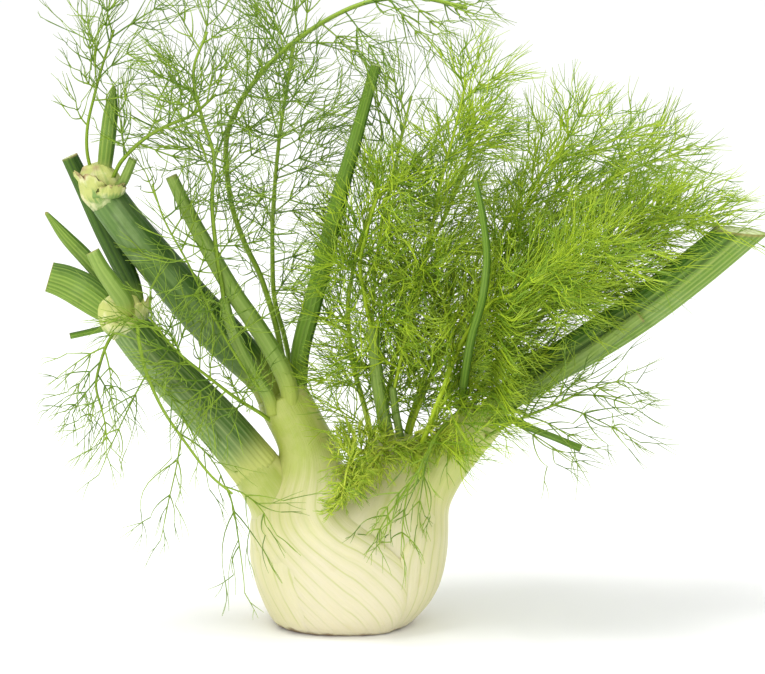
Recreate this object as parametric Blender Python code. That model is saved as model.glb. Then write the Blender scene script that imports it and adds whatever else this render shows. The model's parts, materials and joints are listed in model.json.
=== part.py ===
"""A fennel bulb that stands on its trimmed base, with its cut stalks and feathery fronds.

Run it with: blender --background --python part.py, or from Blender's text editor.
Lengths in this script are millimetres, and MM turns them into Blender's metres. +X is to the right,
+Y is away from the viewer and +Z is up. The origin is the middle of the trimmed base.
"""

import math
import random

import bpy
import numpy as np
from mathutils import Vector
from mathutils.bvhtree import BVHTree

MM = 0.001
GAP = 0.3  # clear space that pieces keep where they touch
FULL_TURN = 2 * math.pi

# The bulb's body: height, half width, half depth, and how far its middle stands to the right.
BODY = (
    (0, 33.5, 28.5, 0.0),
    (5, 38.0, 32.0, 0.9),
    (12, 42.5, 35.5, 2.0),
    (22, 47.0, 38.5, 2.7),
    (34, 49.8, 40.3, 2.9),
    (46, 50.6, 41.0, 3.1),
    (60, 50.2, 40.0, 3.6),
    (74, 48.0, 37.5, 4.6),
    (88, 44.0, 33.0, 6.0),
    (104, 38.0, 28.0, 8.0),
    (124, 32.0, 24.0, 10.0),
)
BODY_SQUARENESS = 2.25  # exponent of the body's outline seen from above, where 2 is an ellipse

# A leaf base wraps the bulb, and narrows to a neck that carries its stalk. Its rings go up the heights. The
# neck's middle, half width and half depth are given at the heights of its own list. front and back are the
# places of its free edges, in degrees round the bulb from +X, and proud is how far it stands over the body.
SHEATHS = {
    "right": {
        "heights": (1.0, 7, 17, 30, 44, 56, 67, 78, 90, 108),
        "neck": (
            (40, (24, 0, 44), 24, 22),
            (66, (41, 0, 68), 18.5, 17),
            (86, (55, -1, 90), 13.8, 13.5),
            (108, (71, -1, 108), 11.8, 11.2),
        ),
        "front": ((0, -66), (40, -62), (60, -50), (90, -44)),
        "back": ((0, 62), (110, 62)),
        "blend": (44, 92),
        "proud": -0.4,
        "ribs": 13,
        "mirror": False,
    },
    "left": {
        "heights": (0.6, 6, 15, 27, 39, 50, 61, 72, 83, 94, 119),
        "neck": (
            (40, (-14, 0, 44), 24, 22),
            (66, (-15, 0, 68), 19, 18),
            (92, (-20, -1, 94), 14.2, 14.2),
            (119, (-32, 0, 119), 13.4, 13.6),
        ),
        "front": ((0, -44), (18, -50), (40, -60), (59, -84), (70, -94), (100, -94)),
        "back": ((0, 128), (50, 110), (100, 90)),
        "blend": (50, 100),
        "proud": 1.2,
        "ribs": 17,
        "mirror": True,
    },
    "outer_left": {
        "heights": (1.4, 8, 18, 30, 42, 54, 66, 80),
        "neck": (
            (30, (-20, -1, 36), 22, 20),
            (60, (-34, -3, 64), 16, 15),
            (80, (-46.6, -4.8, 84.2), 12.6, 11.4),
        ),
        "front": ((0, 246), (50, 240), (90, 236)),
        "back": ((0, 138), (90, 142)),
        "blend": (34, 76),
        "proud": 1.9,
        "ribs": 8,
        "mirror": True,
    },
}
EDGE_ROUNDING = 0.07  # share of a leaf base's width over which its free edge thins out
EDGE_DIVE = 1.5  # how far a free edge goes into the bulb, so that no gap is left under it
OUTER_SHARE = 0.80  # share of a neck's outline that the ribbed outer face takes
INNER_INSET = 6  # depth of a leaf base's hidden inner side under the body
NECK_RIB_SHARE = 0.6  # how deep the ribs are on the neck, as a share of those on the body
RIB_DEPTH = 1.0
RIB_SHARPNESS = 18  # edges of the bulb steeper than this many degrees show as ribs
SHEATH_INNER_COLUMNS = 3

HEART_INSET = 2.4  # the inner leaf bases stand this far inside the body
HEART_HEIGHTS = (0, 4, 14, 28, 44, 60, 74, 86, 96)
HEART_TOP = (25, -2, 96)
HEART_TOP_RADIUS = 13.5
HEART_BLEND = (56, 93)
HEART_COLUMNS = 24

# Stalks: the middle line, the half thickness along it, and depth as a share of that. A part's line starts
# inside what carries it. ridges is how far every other corner stands out, as a share of the radius.
STALKS = {
    "stalk_left_low": {
        "line": ((-44.8, -4.5, 81.8), (-62, -8, 104), (-80, -11, 124), (-97, -13, 143), (-107, -14, 156)),
        "radii": (12.6, 11.8, 11.4, 10.6, 9.9),
        "depth": 0.905,
        "rings": 6,
        "sides": 18,
        "ridges": 0.035,
        "colour": "stalk_green",
        "square_ends": True,
    },
    "stalk_left_tall": {
        "line": ((-36, 3, 114), (-41, 4, 126), (-57, 4, 144), (-76, 3, 165), (-93, 1, 186), (-108, -1, 205), (-118, -2, 219)),
        "radii": (7.4, 9.4, 11.0, 11.0, 10.5, 10.0, 9.6),
        "depth": 0.86,
        "rings": 8,
        "sides": 18,
        "ridges": 0.035,
        "colour": "stalk_green",
    },
    "stalk_left_slim": {
        "line": ((-27.5, -8, 112), (-28.5, -10.5, 126), (-34, -12, 140), (-43, -13, 156), (-55, -13, 174), (-66, -12, 193), (-77, -10, 213), (-87, -8, 234)),
        "radii": (4.4, 4.8, 4.7, 4.5, 4.3, 4.0, 3.6, 3.0),
        "depth": 0.95,
        "rings": 8,
        "sides": 8,
        "ridges": 0.0,
        "colour": "petiole_green",
    },
    "stalk_left_petiole": {
        "line": ((-36.5, -10.5, 112), (-38.5, -13, 121), (-46, -15, 134), (-54, -16, 150), (-58.5, -16, 163), (-60.5, -15, 171)),
        "radii": (3.2, 3.4, 3.3, 3.1, 2.9, 2.7),
        "depth": 0.95,
        "rings": 6,
        "sides": 8,
        "ridges": 0.0,
        "colour": "petiole_green",
    },
    "stalk_centre": {
        "line": ((-23.5, 1, 112), (-23.5, 2, 125), (-22.5, 4, 141), (-17, 6, 163), (-10, 7, 189), (-3, 8, 219), (4, 8, 244), (10, 8, 266), (16, 8, 288)),
        "radii": (4.0, 4.6, 4.8, 4.7, 4.3, 3.9, 3.5, 3.0, 2.6),
        "depth": 0.95,
        "rings": 8,
        "sides": 10,
        "ridges": 0.03,
        "colour": "stalk_green",
    },
    "stalk_right": {
        "line": ((71, 3, 102), (77, 2.5, 112), (87, 2, 121), (101, 1.5, 131.5), (126, 1, 147), (152, 0, 165), (178, -1, 185.5), (200.5, -2, 205)),
        "radii": (6.0, 7.6, 9.0, 9.8, 10.2, 10.2, 10.0, 9.8),
        "depth": 0.84,
        "rings": 8,
        "sides": 18,
        "ridges": 0.04,
        "colour": "stalk_green",
        "cut_slope": 0.9,
    },
    "stalk_right_petiole": {
        "line": ((64, -7, 103), (70, -9.5, 112), (80, -12, 118.5), (92, -13, 124), (116, -13, 138), (137, -12, 153), (150, -11, 162.5)),
        "radii": (3.5, 4.1, 4.2, 4.1, 3.9, 3.6, 3.2),
        "depth": 0.9,
        "rings": 7,
        "sides": 8,
        "ridges": 0.0,
        "colour": "petiole_green",
    },
    "stalk_right_twig": {
        "line": ((74, -5, 103), (80, -9, 108), (86, -12, 109), (95, -14, 105), (108, -15, 100), (120, -16, 95)),
        "radii": (1.7, 1.9, 1.9, 1.8, 1.8, 2.0),
        "depth": 0.9,
        "rings": 6,
        "sides": 6,
        "ridges": 0.0,
        "colour": "petiole_green",
    },
    "stalk_right_slim": {
        "line": ((59, -2, 105), (60, -6, 115), (60.5, -12, 128), (64, -20, 153), (69.5, -26, 175), (71.5, -29, 196), (69.5, -31, 216), (65.5, -33, 237)),
        "radii": (2.1, 2.2, 2.2, 2.1, 2.0, 1.9, 1.7, 1.2),
        "depth": 0.95,
        "rings": 8,
        "sides": 6,
        "ridges": 0.0,
        "colour": "stalk_green",
    },
    "stem_heart": {
        "line": ((21, -8, 90), (22, -8, 97), (19.5, -9, 112), (17, -10, 127), (15.5, -10, 141), (14.5, -9, 155)),
        "radii": (3.6, 3.5, 3.3, 3.2, 3.0, 2.7),
        "depth": 0.95,
        "rings": 6,
        "sides": 8,
        "ridges": 0.0,
        "colour": "petiole_green",
    },
    "stem_heart_slim": {
        "line": ((29, -6, 90), (28.5, -7, 98), (26, -8, 112), (24.5, -8, 124)),
        "radii": (2.2, 2.1, 2.0, 1.9),
        "depth": 0.95,
        "rings": 5,
        "sides": 6,
        "ridges": 0.0,
        "colour": "petiole_green",
    },
}

# Pale joints, where the fronds of a stalk were cut away. from_stalk names the stalk whose end they sit on.
JOINTS = {
    "joint_left_low": {
        "line": ((-107.6, -14, 156.9), (-110.5, -14, 161), (-112.5, -13, 166), (-112, -10, 172)),
        "radii": (9.9, 12.2, 11.8, 8.0),
        "depth": 0.86,
        "rings": 5,
        "sides": 10,
        "ridges": 0.0,
        "colour": "joint_pale",
        "carrier": "stalk_left_low",
        "square_ends": True,
    },
    "joint_left_tall": {
        "line": ((-118.6, -2, 219.9), (-121.5, -2, 225), (-124, -2, 231), (-125.5, -2, 238)),
        "radii": (9.6, 11.0, 10.4, 7.0),
        "depth": 0.86,
        "rings": 5,
        "sides": 10,
        "ridges": 0.0,
        "colour": "joint_pale",
        "carrier": "stalk_left_tall",
        "square_ends": True,
    },
}

# Cut stubs that grow out of the joints.
STUBS = {
    "stub_low_front": {
        "line": ((-109.5, -20, 166), (-110.5, -23, 173), (-115.5, -25, 181), (-121.5, -25, 190), (-126, -24, 198.5)),
        "radii": (4.6, 4.7, 4.4, 4.0, 3.5),
        "depth": 0.9,
        "rings": 5,
        "sides": 8,
        "ridges": 0.0,
        "colour": "petiole_green",
        "carrier": "joint_left_low",
    },
    "stub_low_broad": {
        "line": ((-114, -13, 162), (-121, -12, 168), (-131, -10, 175), (-141, -9, 180), (-149, -9, 182.5)),
        "radii": (5.0, 8.0, 9.0, 8.6, 7.6),
        "depth": 0.5,
        "rings": 5,
        "sides": 14,
        "ridges": 0.07,
        "colour": "stalk_green",
        "carrier": "joint_left_low",
    },
    "stub_low_leafy": {
        "line": ((-114, -7, 169), (-121, -4, 179), (-130, -2, 190), (-141, -2, 202), (-150.5, -2, 214)),
        "radii": (2.6, 3.6, 4.0, 3.2, 1.0),
        "depth": 0.55,
        "rings": 5,
        "sides": 8,
        "ridges": 0.0,
        "colour": "stalk_green",
        "carrier": "joint_left_low",
    },
    "stub_low_back": {
        "line": ((-105, -7, 168), (-108.5, 0, 178), (-115, 6, 190), (-124, 11, 207), (-132, 14, 224), (-139.5, 15, 240)),
        "radii": (4.0, 5.2, 5.4, 5.0, 4.6, 4.2),
        "depth": 0.8,
        "rings": 6,
        "sides": 10,
        "ridges": 0.04,
        "colour": "stalk_green",
        "carrier": "joint_left_low",
    },
    "stub_low_side": {
        "line": ((-112.5, -9, 159.5), (-121, -8, 156), (-130, -7, 153.5), (-139, -7, 151.5)),
        "radii": (1.7, 1.7, 1.6, 1.6),
        "depth": 0.9,
        "rings": 4,
        "sides": 6,
        "ridges": 0.0,
        "colour": "petiole_green",
        "carrier": "joint_left_low",
    },
    "stub_tall_upright": {
        "line": ((-121.5, -3, 232), (-120, -3.5, 243), (-118.5, -4, 255), (-117, -4, 267), (-115.5, -4, 279)),
        "radii": (3.2, 3.8, 3.9, 3.4, 0.9),
        "depth": 0.75,
        "rings": 6,
        "sides": 8,
        "ridges": 0.0,
        "colour": "stalk_green",
        "carrier": "joint_left_tall",
    },
    "stub_tall_side": {
        "line": ((-117, -6, 226), (-112, -8.5, 230), (-108.5, -9, 237), (-106, -9, 243)),
        "radii": (2.4, 2.5, 2.4, 2.2),
        "depth": 0.9,
        "rings": 4,
        "sides": 6,
        "ridges": 0.0,
        "colour": "petiole_green",
        "carrier": "joint_left_tall",
    },
}

# Fronds: a bare stem line from the carrier, thin side branches (pinnae) in whorls along it, and threads.
# first is where the first whorl stands, as a share of the line. whorls and per_whorl set the pinnae.
# reach is a pinna's length at the first whorl and at the tip, spread its angle from the stem in degrees, and
# lean a direction that all pinnae bend to.
FRONDS = {
    "frond_left_arch": {
        "line": ((-30, 10, 112), (-31, 12, 128), (-35, 9, 152), (-43, 9, 179), (-51.5, 11, 197), (-58, 12, 218), (-60, 12, 248), (-54, 12, 266), (-43, 12, 282), (-28, 11, 297), (-8, 10, 311), (13, 9, 320), (38, 8, 322), (62, 7, 317)),
        "radii": (1.9, 1.2), "rings": 15, "carrier": "bulb",
        "first": 0.42, "whorls": 5, "per_whorl": 2, "reach": (46, 26), "spread": 62, "lean": (0.0, 0, 0.1),
    },
    "frond_left_slim": {
        "line": ((-60.3, -15.2, 168), (-61.5, -18, 180), (-63.5, -21, 194), (-66, -21, 222), (-65, -19, 246), (-71, -17, 266), (-75, -15, 288), (-68, -14, 308)),
        "radii": (1.4, 0.8), "rings": 8, "carrier": "stalk_left_petiole",
        "first": 0.2, "whorls": 4, "per_whorl": 2, "reach": (34, 24), "spread": 60, "lean": (-0.1, 0, 0.1),
    },
    "frond_left_upright": {
        "line": ((-26, 7.5, 110), (-27, 10, 126), (-31, 16, 146), (-36, 18, 165), (-37, 18, 189), (-36.5, 18, 212), (-33, 17, 250), (-28, 15, 282), (-25, 14, 300)),
        "radii": (1.7, 0.9), "rings": 9, "carrier": "bulb",
        "first": 0.3, "whorls": 4, "per_whorl": 2, "reach": (36, 44), "spread": 64, "lean": (0.15, 0, 0.0),
    },
    "frond_tall_side": {
        "line": ((-117, -7, 232), (-112, -10, 242), (-100, -13, 254), (-88, -14, 261), (-76, -13, 266), (-64, -10, 276)),
        "radii": (1.4, 0.8), "rings": 6, "carrier": "joint_left_tall",
        "first": 0.2, "whorls": 3, "per_whorl": 2, "reach": (28, 24), "spread": 58, "lean": (0.1, 0, 0.25),
    },
    "frond_tall_left": {
        "line": ((-127, -3, 233), (-129.5, -4, 246), (-129, -5, 259), (-125.5, -6, 274), (-121, -7, 290), (-115, -7, 308)),
        "radii": (1.1, 0.7), "rings": 6, "carrier": "joint_left_tall",
        "first": 0.35, "whorls": 3, "per_whorl": 2, "reach": (20, 34), "spread": 55, "lean": (0.35, 0, 0.1),
    },
    "frond_over_stalks": {
        "line": ((-38, -9, 108), (-44, -15, 114), (-54, -22, 122), (-68, -26, 134), (-84, -28, 148), (-98, -29, 166)),
        "radii": (1.2, 0.7), "rings": 6, "carrier": "bulb",
        "first": 0.25, "whorls": 4, "per_whorl": 2, "reach": (24, 20), "spread": 60, "lean": (0, -0.2, 0),
    },
    "frond_low_hanging": {
        "line": ((-104, -18.5, 161), (-103.5, -26.5, 160), (-102.5, -31, 153), (-99, -32, 138), (-91, -31, 119), (-79, -32, 101), (-67, -36, 86), (-56, -42, 78)),
        "radii": (1.2, 0.8), "rings": 12, "carrier": "joint_left_low",
        "first": 0.3, "whorls": 3, "per_whorl": 2, "reach": (34, 36), "spread": 48, "lean": (-0.2, -0.1, -0.75),
    },
    "frond_low_left": {
        "line": ((-114, -19, 159), (-119, -25, 152), (-123, -27, 141), (-125, -28, 130), (-122, -29, 118)),
        "radii": (1.1, 0.7), "rings": 5, "carrier": "joint_left_low",
        "first": 0.3, "whorls": 3, "per_whorl": 2, "reach": (24, 22), "spread": 55, "lean": (-0.15, -0.1, -0.35),
    },
    "frond_heart_tuft": {
        "line": ((14, -10, 88), (11, -18, 94), (6, -27, 95), (2, -36, 90), (0, -43, 82)),
        "radii": (1.6, 0.9), "rings": 5, "carrier": "bulb",
        "first": 0.3, "whorls": 3, "per_whorl": 3, "reach": (17, 13), "spread": 60, "lean": (0.2, -0.2, 0.1),
    },
    "frond_front_hanging": {
        "line": ((57, -6, 105), (53, -16, 109), (46, -28, 104), (40, -40, 94), (33, -46, 84), (26, -49, 74)),
        "radii": (1.2, 0.8), "rings": 7, "carrier": "bulb",
        "first": 0.5, "whorls": 4, "per_whorl": 2, "reach": (34, 26), "spread": 34, "lean": (0.1, 0.0, -0.35),
    },
    "frond_right_hanging": {
        "line": ((70.5, -8, 98), (77, -18, 105), (90, -24, 113), (105, -27, 120), (119, -28, 127)),
        "radii": (1.1, 0.7), "rings": 5, "carrier": "bulb",
        "first": 0.35, "whorls": 4, "per_whorl": 2, "reach": (34, 30), "spread": 50, "lean": (0.3, -0.1, -0.4),
    },
    "frond_heart_left": {
        "line": ((15, 3, 90), (11, 8, 108), (4, 12, 135), (2, 14, 165), (8, 15, 195), (18, 16, 224)),
        "radii": (1.8, 0.9), "rings": 7, "carrier": "bulb",
        "first": 0.2, "whorls": 4, "per_whorl": 3, "reach": (34, 28), "spread": 56, "lean": (-0.05, 0, 0.1),
    },
    "frond_heart_front": {
        "line": ((14.6, -9, 152.5), (11, -10, 168), (8, -12, 189), (12, -13, 209), (18, -14, 228)),
        "radii": (1.4, 0.8), "rings": 6, "carrier": "stem_heart",
        "first": 0.1, "whorls": 4, "per_whorl": 3, "reach": (30, 24), "spread": 60, "lean": (0.1, -0.15, 0),
    },
    "frond_heart_tall": {
        "line": ((24.6, -8, 121.5), (31, -8, 150), (38.5, -7, 178), (44, -6, 205), (49, -5, 231), (56, -4, 258), (61, -4, 280)),
        "radii": (1.3, 0.8), "rings": 8, "carrier": "stem_heart_slim",
        "first": 0.2, "whorls": 5, "per_whorl": 3, "reach": (32, 24), "spread": 56, "lean": (0.15, 0, 0.05),
    },
    "frond_mass_middle": {
        "line": ((32, 2, 90), (35, 3, 104), (46, 6, 131), (62, 9, 160), (78, 11, 188), (95, 12, 217), (112, 12, 246)),
        "radii": (1.8, 0.9), "rings": 8, "carrier": "bulb",
        "first": 0.25, "whorls": 5, "per_whorl": 3, "reach": (38, 34), "spread": 48, "lean": (0.35, 0, 0.1),
    },
    "frond_mass_right": {
        "line": ((37, -4, 88), (45, -5, 108), (65, -6, 138), (95, -5, 168), (122, -3, 190), (148, -2, 206), (168, -2, 214)),
        "radii": (1.8, 0.9), "rings": 8, "carrier": "bulb",
        "first": 0.3, "whorls": 5, "per_whorl": 3, "reach": (40, 32), "spread": 42, "lean": (0.4, 0, 0.05),
    },
    "frond_mass_back": {
        "line": ((30, 9, 88), (34, 14, 104), (46, 24, 135), (66, 36, 165), (92, 44, 190), (120, 49, 211), (148, 51, 228)),
        "radii": (1.8, 0.9), "rings": 8, "carrier": "bulb",
        "first": 0.3, "whorls": 4, "per_whorl": 3, "reach": (40, 34), "spread": 46, "lean": (0.3, 0.1, 0.1),
    },
    "frond_mass_front": {
        "line": ((35, -11, 86), (42, -19, 106), (53, -27, 136), (69, -34, 165), (93, -39, 186), (118, -41, 200)),
        "radii": (1.8, 0.9), "rings": 7, "carrier": "bulb",
        "first": 0.3, "whorls": 4, "per_whorl": 3, "reach": (38, 30), "spread": 46, "lean": (0.3, -0.1, 0.1),
    },
    "frond_mass_low": {
        "line": ((63, 5, 104), (68, 10, 118), (86, 17, 142), (112, 21, 166), (138, 22, 186), (160, 22, 200)),
        "radii": (1.5, 0.8), "rings": 7, "carrier": "bulb",
        "first": 0.25, "whorls": 4, "per_whorl": 3, "reach": (34, 28), "spread": 46, "lean": (0.3, 0.05, 0.15),
    },
    "frond_heart_back": {
        "line": ((20, 9, 90), (22, 20, 115), (30, 31, 150), (42, 38, 185), (56, 41, 215), (66, 41, 243)),
        "radii": (1.7, 0.9), "rings": 7, "carrier": "bulb",
        "first": 0.25, "whorls": 4, "per_whorl": 3, "reach": (36, 30), "spread": 54, "lean": (0.1, 0.1, 0.1),
    },
}
SPRIG_RADIUS = 0.62
SPRIG_SHARE = 0.8  # most that a sprig's radius may be, as a share of its stem's
SPRIG_TAPER = 0.45
THREAD_RADIUS = 0.6
THREAD_SPREAD = 31  # degrees between a thread and its sprig
FORKS = (0.36, 0.68)  # places along a sprig where threads leave it
FORK_LENGTH = 1.3
LAST_WHORL = 0.96  # place of the last whorl along the stem
SPREAD_LOSS = 0.35  # how much closer the last whorl lies to the stem than the first
LENGTHS = (0.8, 1.15)  # least and most of a sprig's length and spread, as shares of the usual
ROLL = 0.4  # how far a sprig may stand off its even place round the stem, in radians
BEND = 0.8  # how strongly a sprig turns to its lean
SHORTER_SPRIG = 0.12  # what each further try takes off a sprig's length
THREAD_SPREADS = (0.75, 1.3)
THREAD_LENGTHS = (0.75, 1.15)
THREAD_TWIST = 0.35
THREAD_LEAN = 0.5
SHORTER_THREAD = 0.1
LEAST_RISE = 0.42  # sine of the least angle between a thread and the face that it is drawn from
STAGGER = 2.0  # distance along the stem between the sprigs of a whorl
ROOT_DEPTH = 0.3  # how far past the stem's middle a sprig starts, as a share of the stem's radius
TRIES = 4  # goes that a sprig or a thread gets to find clear air
BARE_THREAD = 4.0  # length of a thread, from its root, where its own frond may be close
BARE_SPRIG = 7.0
SAMPLE_LENGTH = 1.2
STEM_SIDES = 4
TRIM_LENGTH = 9
TRIM_WIDTH = 1.5
TRIM_SIDES = 8
STALK_SHARPNESS = 35  # edges of the stalks steeper than this many degrees stay sharp

COLOURS = {
    "bulb_cream": ((0.80, 0.78, 0.50), 0.45),
    "joint_pale": ((0.68, 0.70, 0.34), 0.5),
    "stalk_green": ((0.13, 0.27, 0.05), 0.5),
    "petiole_green": ((0.30, 0.45, 0.09), 0.5),
    "frond_green": ((0.27, 0.43, 0.03), 0.55),
}


def material(name):
    """The named finish, made once."""
    found = bpy.data.materials.get(name)
    if found:
        return found
    rgb, roughness = COLOURS[name]
    made = bpy.data.materials.new(name)
    made.use_nodes = True
    shader = made.node_tree.nodes["Principled BSDF"]
    shader.inputs["Base Color"].default_value = (*rgb, 1)
    shader.inputs["Roughness"].default_value = roughness
    shader.inputs["Metallic"].default_value = 0
    made.diffuse_color = (*rgb, 1)
    return made


def add_object(name, points, faces, colour):
    """An object in the scene from points in millimetres."""
    mesh = bpy.data.meshes.new(name)
    mesh.from_pydata([Vector(p) * MM for p in points], [], faces)
    mesh.materials.append(material(colour))
    made = bpy.data.objects.new(name, mesh)
    bpy.context.scene.collection.objects.link(made)
    return made


def ring_solid(rings, tip=None):
    """Points and faces of a solid through rings of equal count, with flat ends or a pointed tip."""
    count = len(rings[0])
    points = [p for ring in rings for p in ring]
    faces = [tuple(reversed(range(count)))]
    for row in range(len(rings) - 1):
        low, high = row * count, (row + 1) * count
        for side in range(count):
            after = (side + 1) % count
            faces.append((low + side, low + after, high + after, high + side))
    last = (len(rings) - 1) * count
    if tip is None:
        faces.append(tuple(range(last, last + count)))
    else:
        points.append(tip)
        faces += [(last + side, last + (side + 1) % count, len(points) - 1) for side in range(count)]
    return points, faces


def between(table, at):
    """The value of a smooth curve through (place, value) pairs. A value is a number or a vector."""
    places = [row[0] for row in table]
    values = [Vector(row[1]) if hasattr(row[1], "__len__") else row[1] for row in table]
    at = min(max(at, places[0]), places[-1])
    step = max(i for i in range(len(places) - 1) if places[i] <= at)
    width = places[step + 1] - places[step]
    share = (at - places[step]) / width

    def slope(i):
        low, high = max(i - 1, 0), min(i + 1, len(places) - 1)
        return (values[high] - values[low]) / (places[high] - places[low]) * width

    square, cube = share * share, share**3
    return (
        values[step] * (2 * cube - 3 * square + 1)
        + values[step + 1] * (3 * square - 2 * cube)
        + slope(step) * (cube - 2 * square + share)
        + slope(step + 1) * (cube - square)
    )


def smooth_line(points, count):
    """count points, evenly spaced along a smooth curve through the given ones."""
    points = [Vector(p) for p in points]
    along = [0.0]
    for a, b in zip(points, points[1:]):
        along.append(along[-1] + (b - a).length)
    table = list(zip(along, points))
    return [between(table, along[-1] * i / (count - 1)) for i in range(count)]


def smooth_values(values, count):
    table = [(i / (len(values) - 1), v) for i, v in enumerate(values)]
    return [between(table, i / (count - 1)) for i in range(count)]


def directions(line):
    """The way that the line runs at each of its points."""
    last = len(line) - 1
    return [(line[min(i + 1, last)] - line[max(i - 1, 0)]).normalized() for i in range(last + 1)]


def smooth_step(low, high, at):
    share = min(max((at - low) / (high - low), 0), 1)
    return share * share * (3 - 2 * share)


def body_point(angle, height, inset=0.0):
    """A point on the bulb's body at an angle round it, in radians from +X."""
    half_width = between([(row[0], row[1]) for row in BODY], height) - inset
    half_depth = between([(row[0], row[2]) for row in BODY], height) - inset
    middle = between([(row[0], row[3]) for row in BODY], height)
    power = 2 / BODY_SQUARENESS
    c, s = math.cos(angle), math.sin(angle)
    return Vector(
        (
            middle + half_width * math.copysign(abs(c) ** power, c),
            half_depth * math.copysign(abs(s) ** power, s),
            height,
        )
    )


def neck_frame(neck, height):
    """The neck's middle at a height of its leaf base, and two directions across it."""
    table = [(row[0], row[1]) for row in neck]
    middle = between(table, height)
    way = (between(table, height + 1) - between(table, height - 1)).normalized()
    if way.length < 0.5:
        way = Vector((0, 0, 1))
    depth = (Vector((0, 1, 0)) - way * way.y).normalized()
    return middle, depth.cross(way).normalized(), depth


def sheath_rings(spec):
    """Rings of a leaf base. Each runs from its back edge round its outer face to its front edge, then back
    through the bulb. The outer columns are the ribs: every second one is sunk."""
    outer_columns = 2 * spec["ribs"]
    columns = outer_columns + 1 + SHEATH_INNER_COLUMNS
    sign = 1 if spec["mirror"] else -1
    rings = []
    for height in spec["heights"]:
        front, back = (math.radians(between(spec[edge], height)) for edge in ("front", "back"))
        if spec["mirror"] and front < back:
            front += FULL_TURN
        middle, across, depth = neck_frame(spec["neck"], height)
        half_width = between([(row[0], row[2]) for row in spec["neck"]], height)
        half_depth = between([(row[0], row[3]) for row in spec["neck"]], height)
        blend = smooth_step(*spec["blend"], height)
        ring = []
        for column in range(columns):
            if column <= outer_columns:
                share = column / outer_columns
                turn = (share - 0.5) * OUTER_SHARE * FULL_TURN
                angle = back + (front - back) * share
                thin = min(share, 1 - share) / EDGE_ROUNDING
                proud = spec["proud"] * math.sqrt(min(thin, 1)) - EDGE_DIVE * (1 - min(thin, 1)) ** 3
                rib = -RIB_DEPTH * (column % 2)
                outer = body_point(angle, height, -proud - rib)
            else:
                share = (column - outer_columns) / (SHEATH_INNER_COLUMNS + 1)
                turn = (0.5 * OUTER_SHARE + share * (1 - OUTER_SHARE)) * FULL_TURN
                angle = front + (back - front) * share
                rib = 0
                chord_a = body_point(front, height, INNER_INSET)
                chord_b = body_point(back, height, INNER_INSET)
                outer = chord_a.lerp(chord_b, share)
            around = turn * sign + (math.pi if spec["mirror"] else 0)
            narrow = middle + across * math.cos(around) * (half_width + rib * NECK_RIB_SHARE)
            narrow += depth * math.sin(around) * (half_depth + rib * NECK_RIB_SHARE)
            ring.append(outer.lerp(narrow, blend))
        rings.append(ring if spec["mirror"] else ring[::-1])
    return rings


def heart_rings():
    """Rings of the inner leaf bases, which close over the bulb's middle."""
    rings = []
    top = Vector(HEART_TOP)
    for height in HEART_HEIGHTS:
        blend = smooth_step(*HEART_BLEND, height)
        ring = []
        for column in range(HEART_COLUMNS):
            angle = FULL_TURN * column / HEART_COLUMNS
            rib = RIB_DEPTH * (column % 2)
            wide = body_point(angle, height, HEART_INSET + rib)
            radius = HEART_TOP_RADIUS - rib
            narrow = Vector((top.x + radius * math.cos(angle), top.y + radius * math.sin(angle), height))
            ring.append(wide.lerp(narrow, blend))
        rings.append(ring)
    return rings


def stalk_rings(spec, grow=0.0):
    """Rings of a stalk or a stub. grow makes it wider, and its start that much earlier, to cut a socket."""
    line = smooth_line(spec["line"], spec["rings"])
    radii = smooth_values(spec["radii"], spec["rings"])
    ways = directions(line)
    if grow:
        line[0] = line[0] - ways[0] * grow
    rings = []
    for row, (middle, radius, way) in enumerate(zip(line, radii, ways)):
        depth = (Vector((0, 1, 0)) - way * way.y).normalized()
        across = depth.cross(way).normalized()
        ring = []
        for side in range(spec["sides"]):
            angle = FULL_TURN * side / spec["sides"]
            reach = radius * (1 + spec["ridges"] * (1 if side % 2 else -1)) + grow
            u = math.cos(angle) * reach
            v = math.sin(angle) * (reach - grow) * spec["depth"] + math.sin(angle) * grow
            slope = spec.get("cut_slope", 0) if row == spec["rings"] - 1 else 0
            ring.append(middle + across * u + depth * v + way * u * slope)
        rings.append(ring)
    return rings


def thread_solid(line, start, end, sides):
    """A thin tapering stem or thread along a line, ending in a point."""
    ways = directions(line)
    across = ways[0].orthogonal().normalized()
    rings = []
    for row in range(len(line) - 1):
        across = (across - ways[row] * across.dot(ways[row])).normalized()
        other = ways[row].cross(across)
        radius = start + (end - start) * row / (len(line) - 1)
        ring = []
        for side in range(sides):
            angle = FULL_TURN * side / sides
            ring.append(line[row] + (across * math.cos(angle) + other * math.sin(angle)) * radius)
        rings.append(ring)
    return ring_solid(rings, tip=line[-1])


def combine(base, pieces, operation, solver="EXACT"):
    """Joins the pieces to the base, or cuts them from it, and removes them."""
    group = bpy.data.collections.new("pieces of " + base.name)
    bpy.context.scene.collection.children.link(group)
    for piece in pieces:
        bpy.context.scene.collection.objects.unlink(piece)
        group.objects.link(piece)
    change = base.modifiers.new("change", "BOOLEAN")
    change.operation = operation
    change.operand_type = "COLLECTION"
    change.collection = group
    change.solver = solver
    bpy.context.view_layer.update()
    graph = bpy.context.evaluated_depsgraph_get()
    base.data = bpy.data.meshes.new_from_object(base.evaluated_get(graph))
    base.modifiers.clear()
    for piece in pieces:
        bpy.data.objects.remove(piece)
    bpy.data.collections.remove(group)


def turned(way, angle, spread):
    """A direction at an angle round a way, and spread degrees off it."""
    across = way.orthogonal().normalized()
    other = way.cross(across)
    side = across * math.cos(angle) + other * math.sin(angle)
    tilt = math.radians(spread)
    return (way * math.cos(tilt) + side * math.sin(tilt)).normalized()


def curved(start, way, lean, length, steps):
    """A line that leaves start along way and bends towards lean."""
    points = []
    for step in range(steps + 1):
        share = step / steps
        points.append(start + way * length * share + lean * length * share * share * BEND)
    return points


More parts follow.
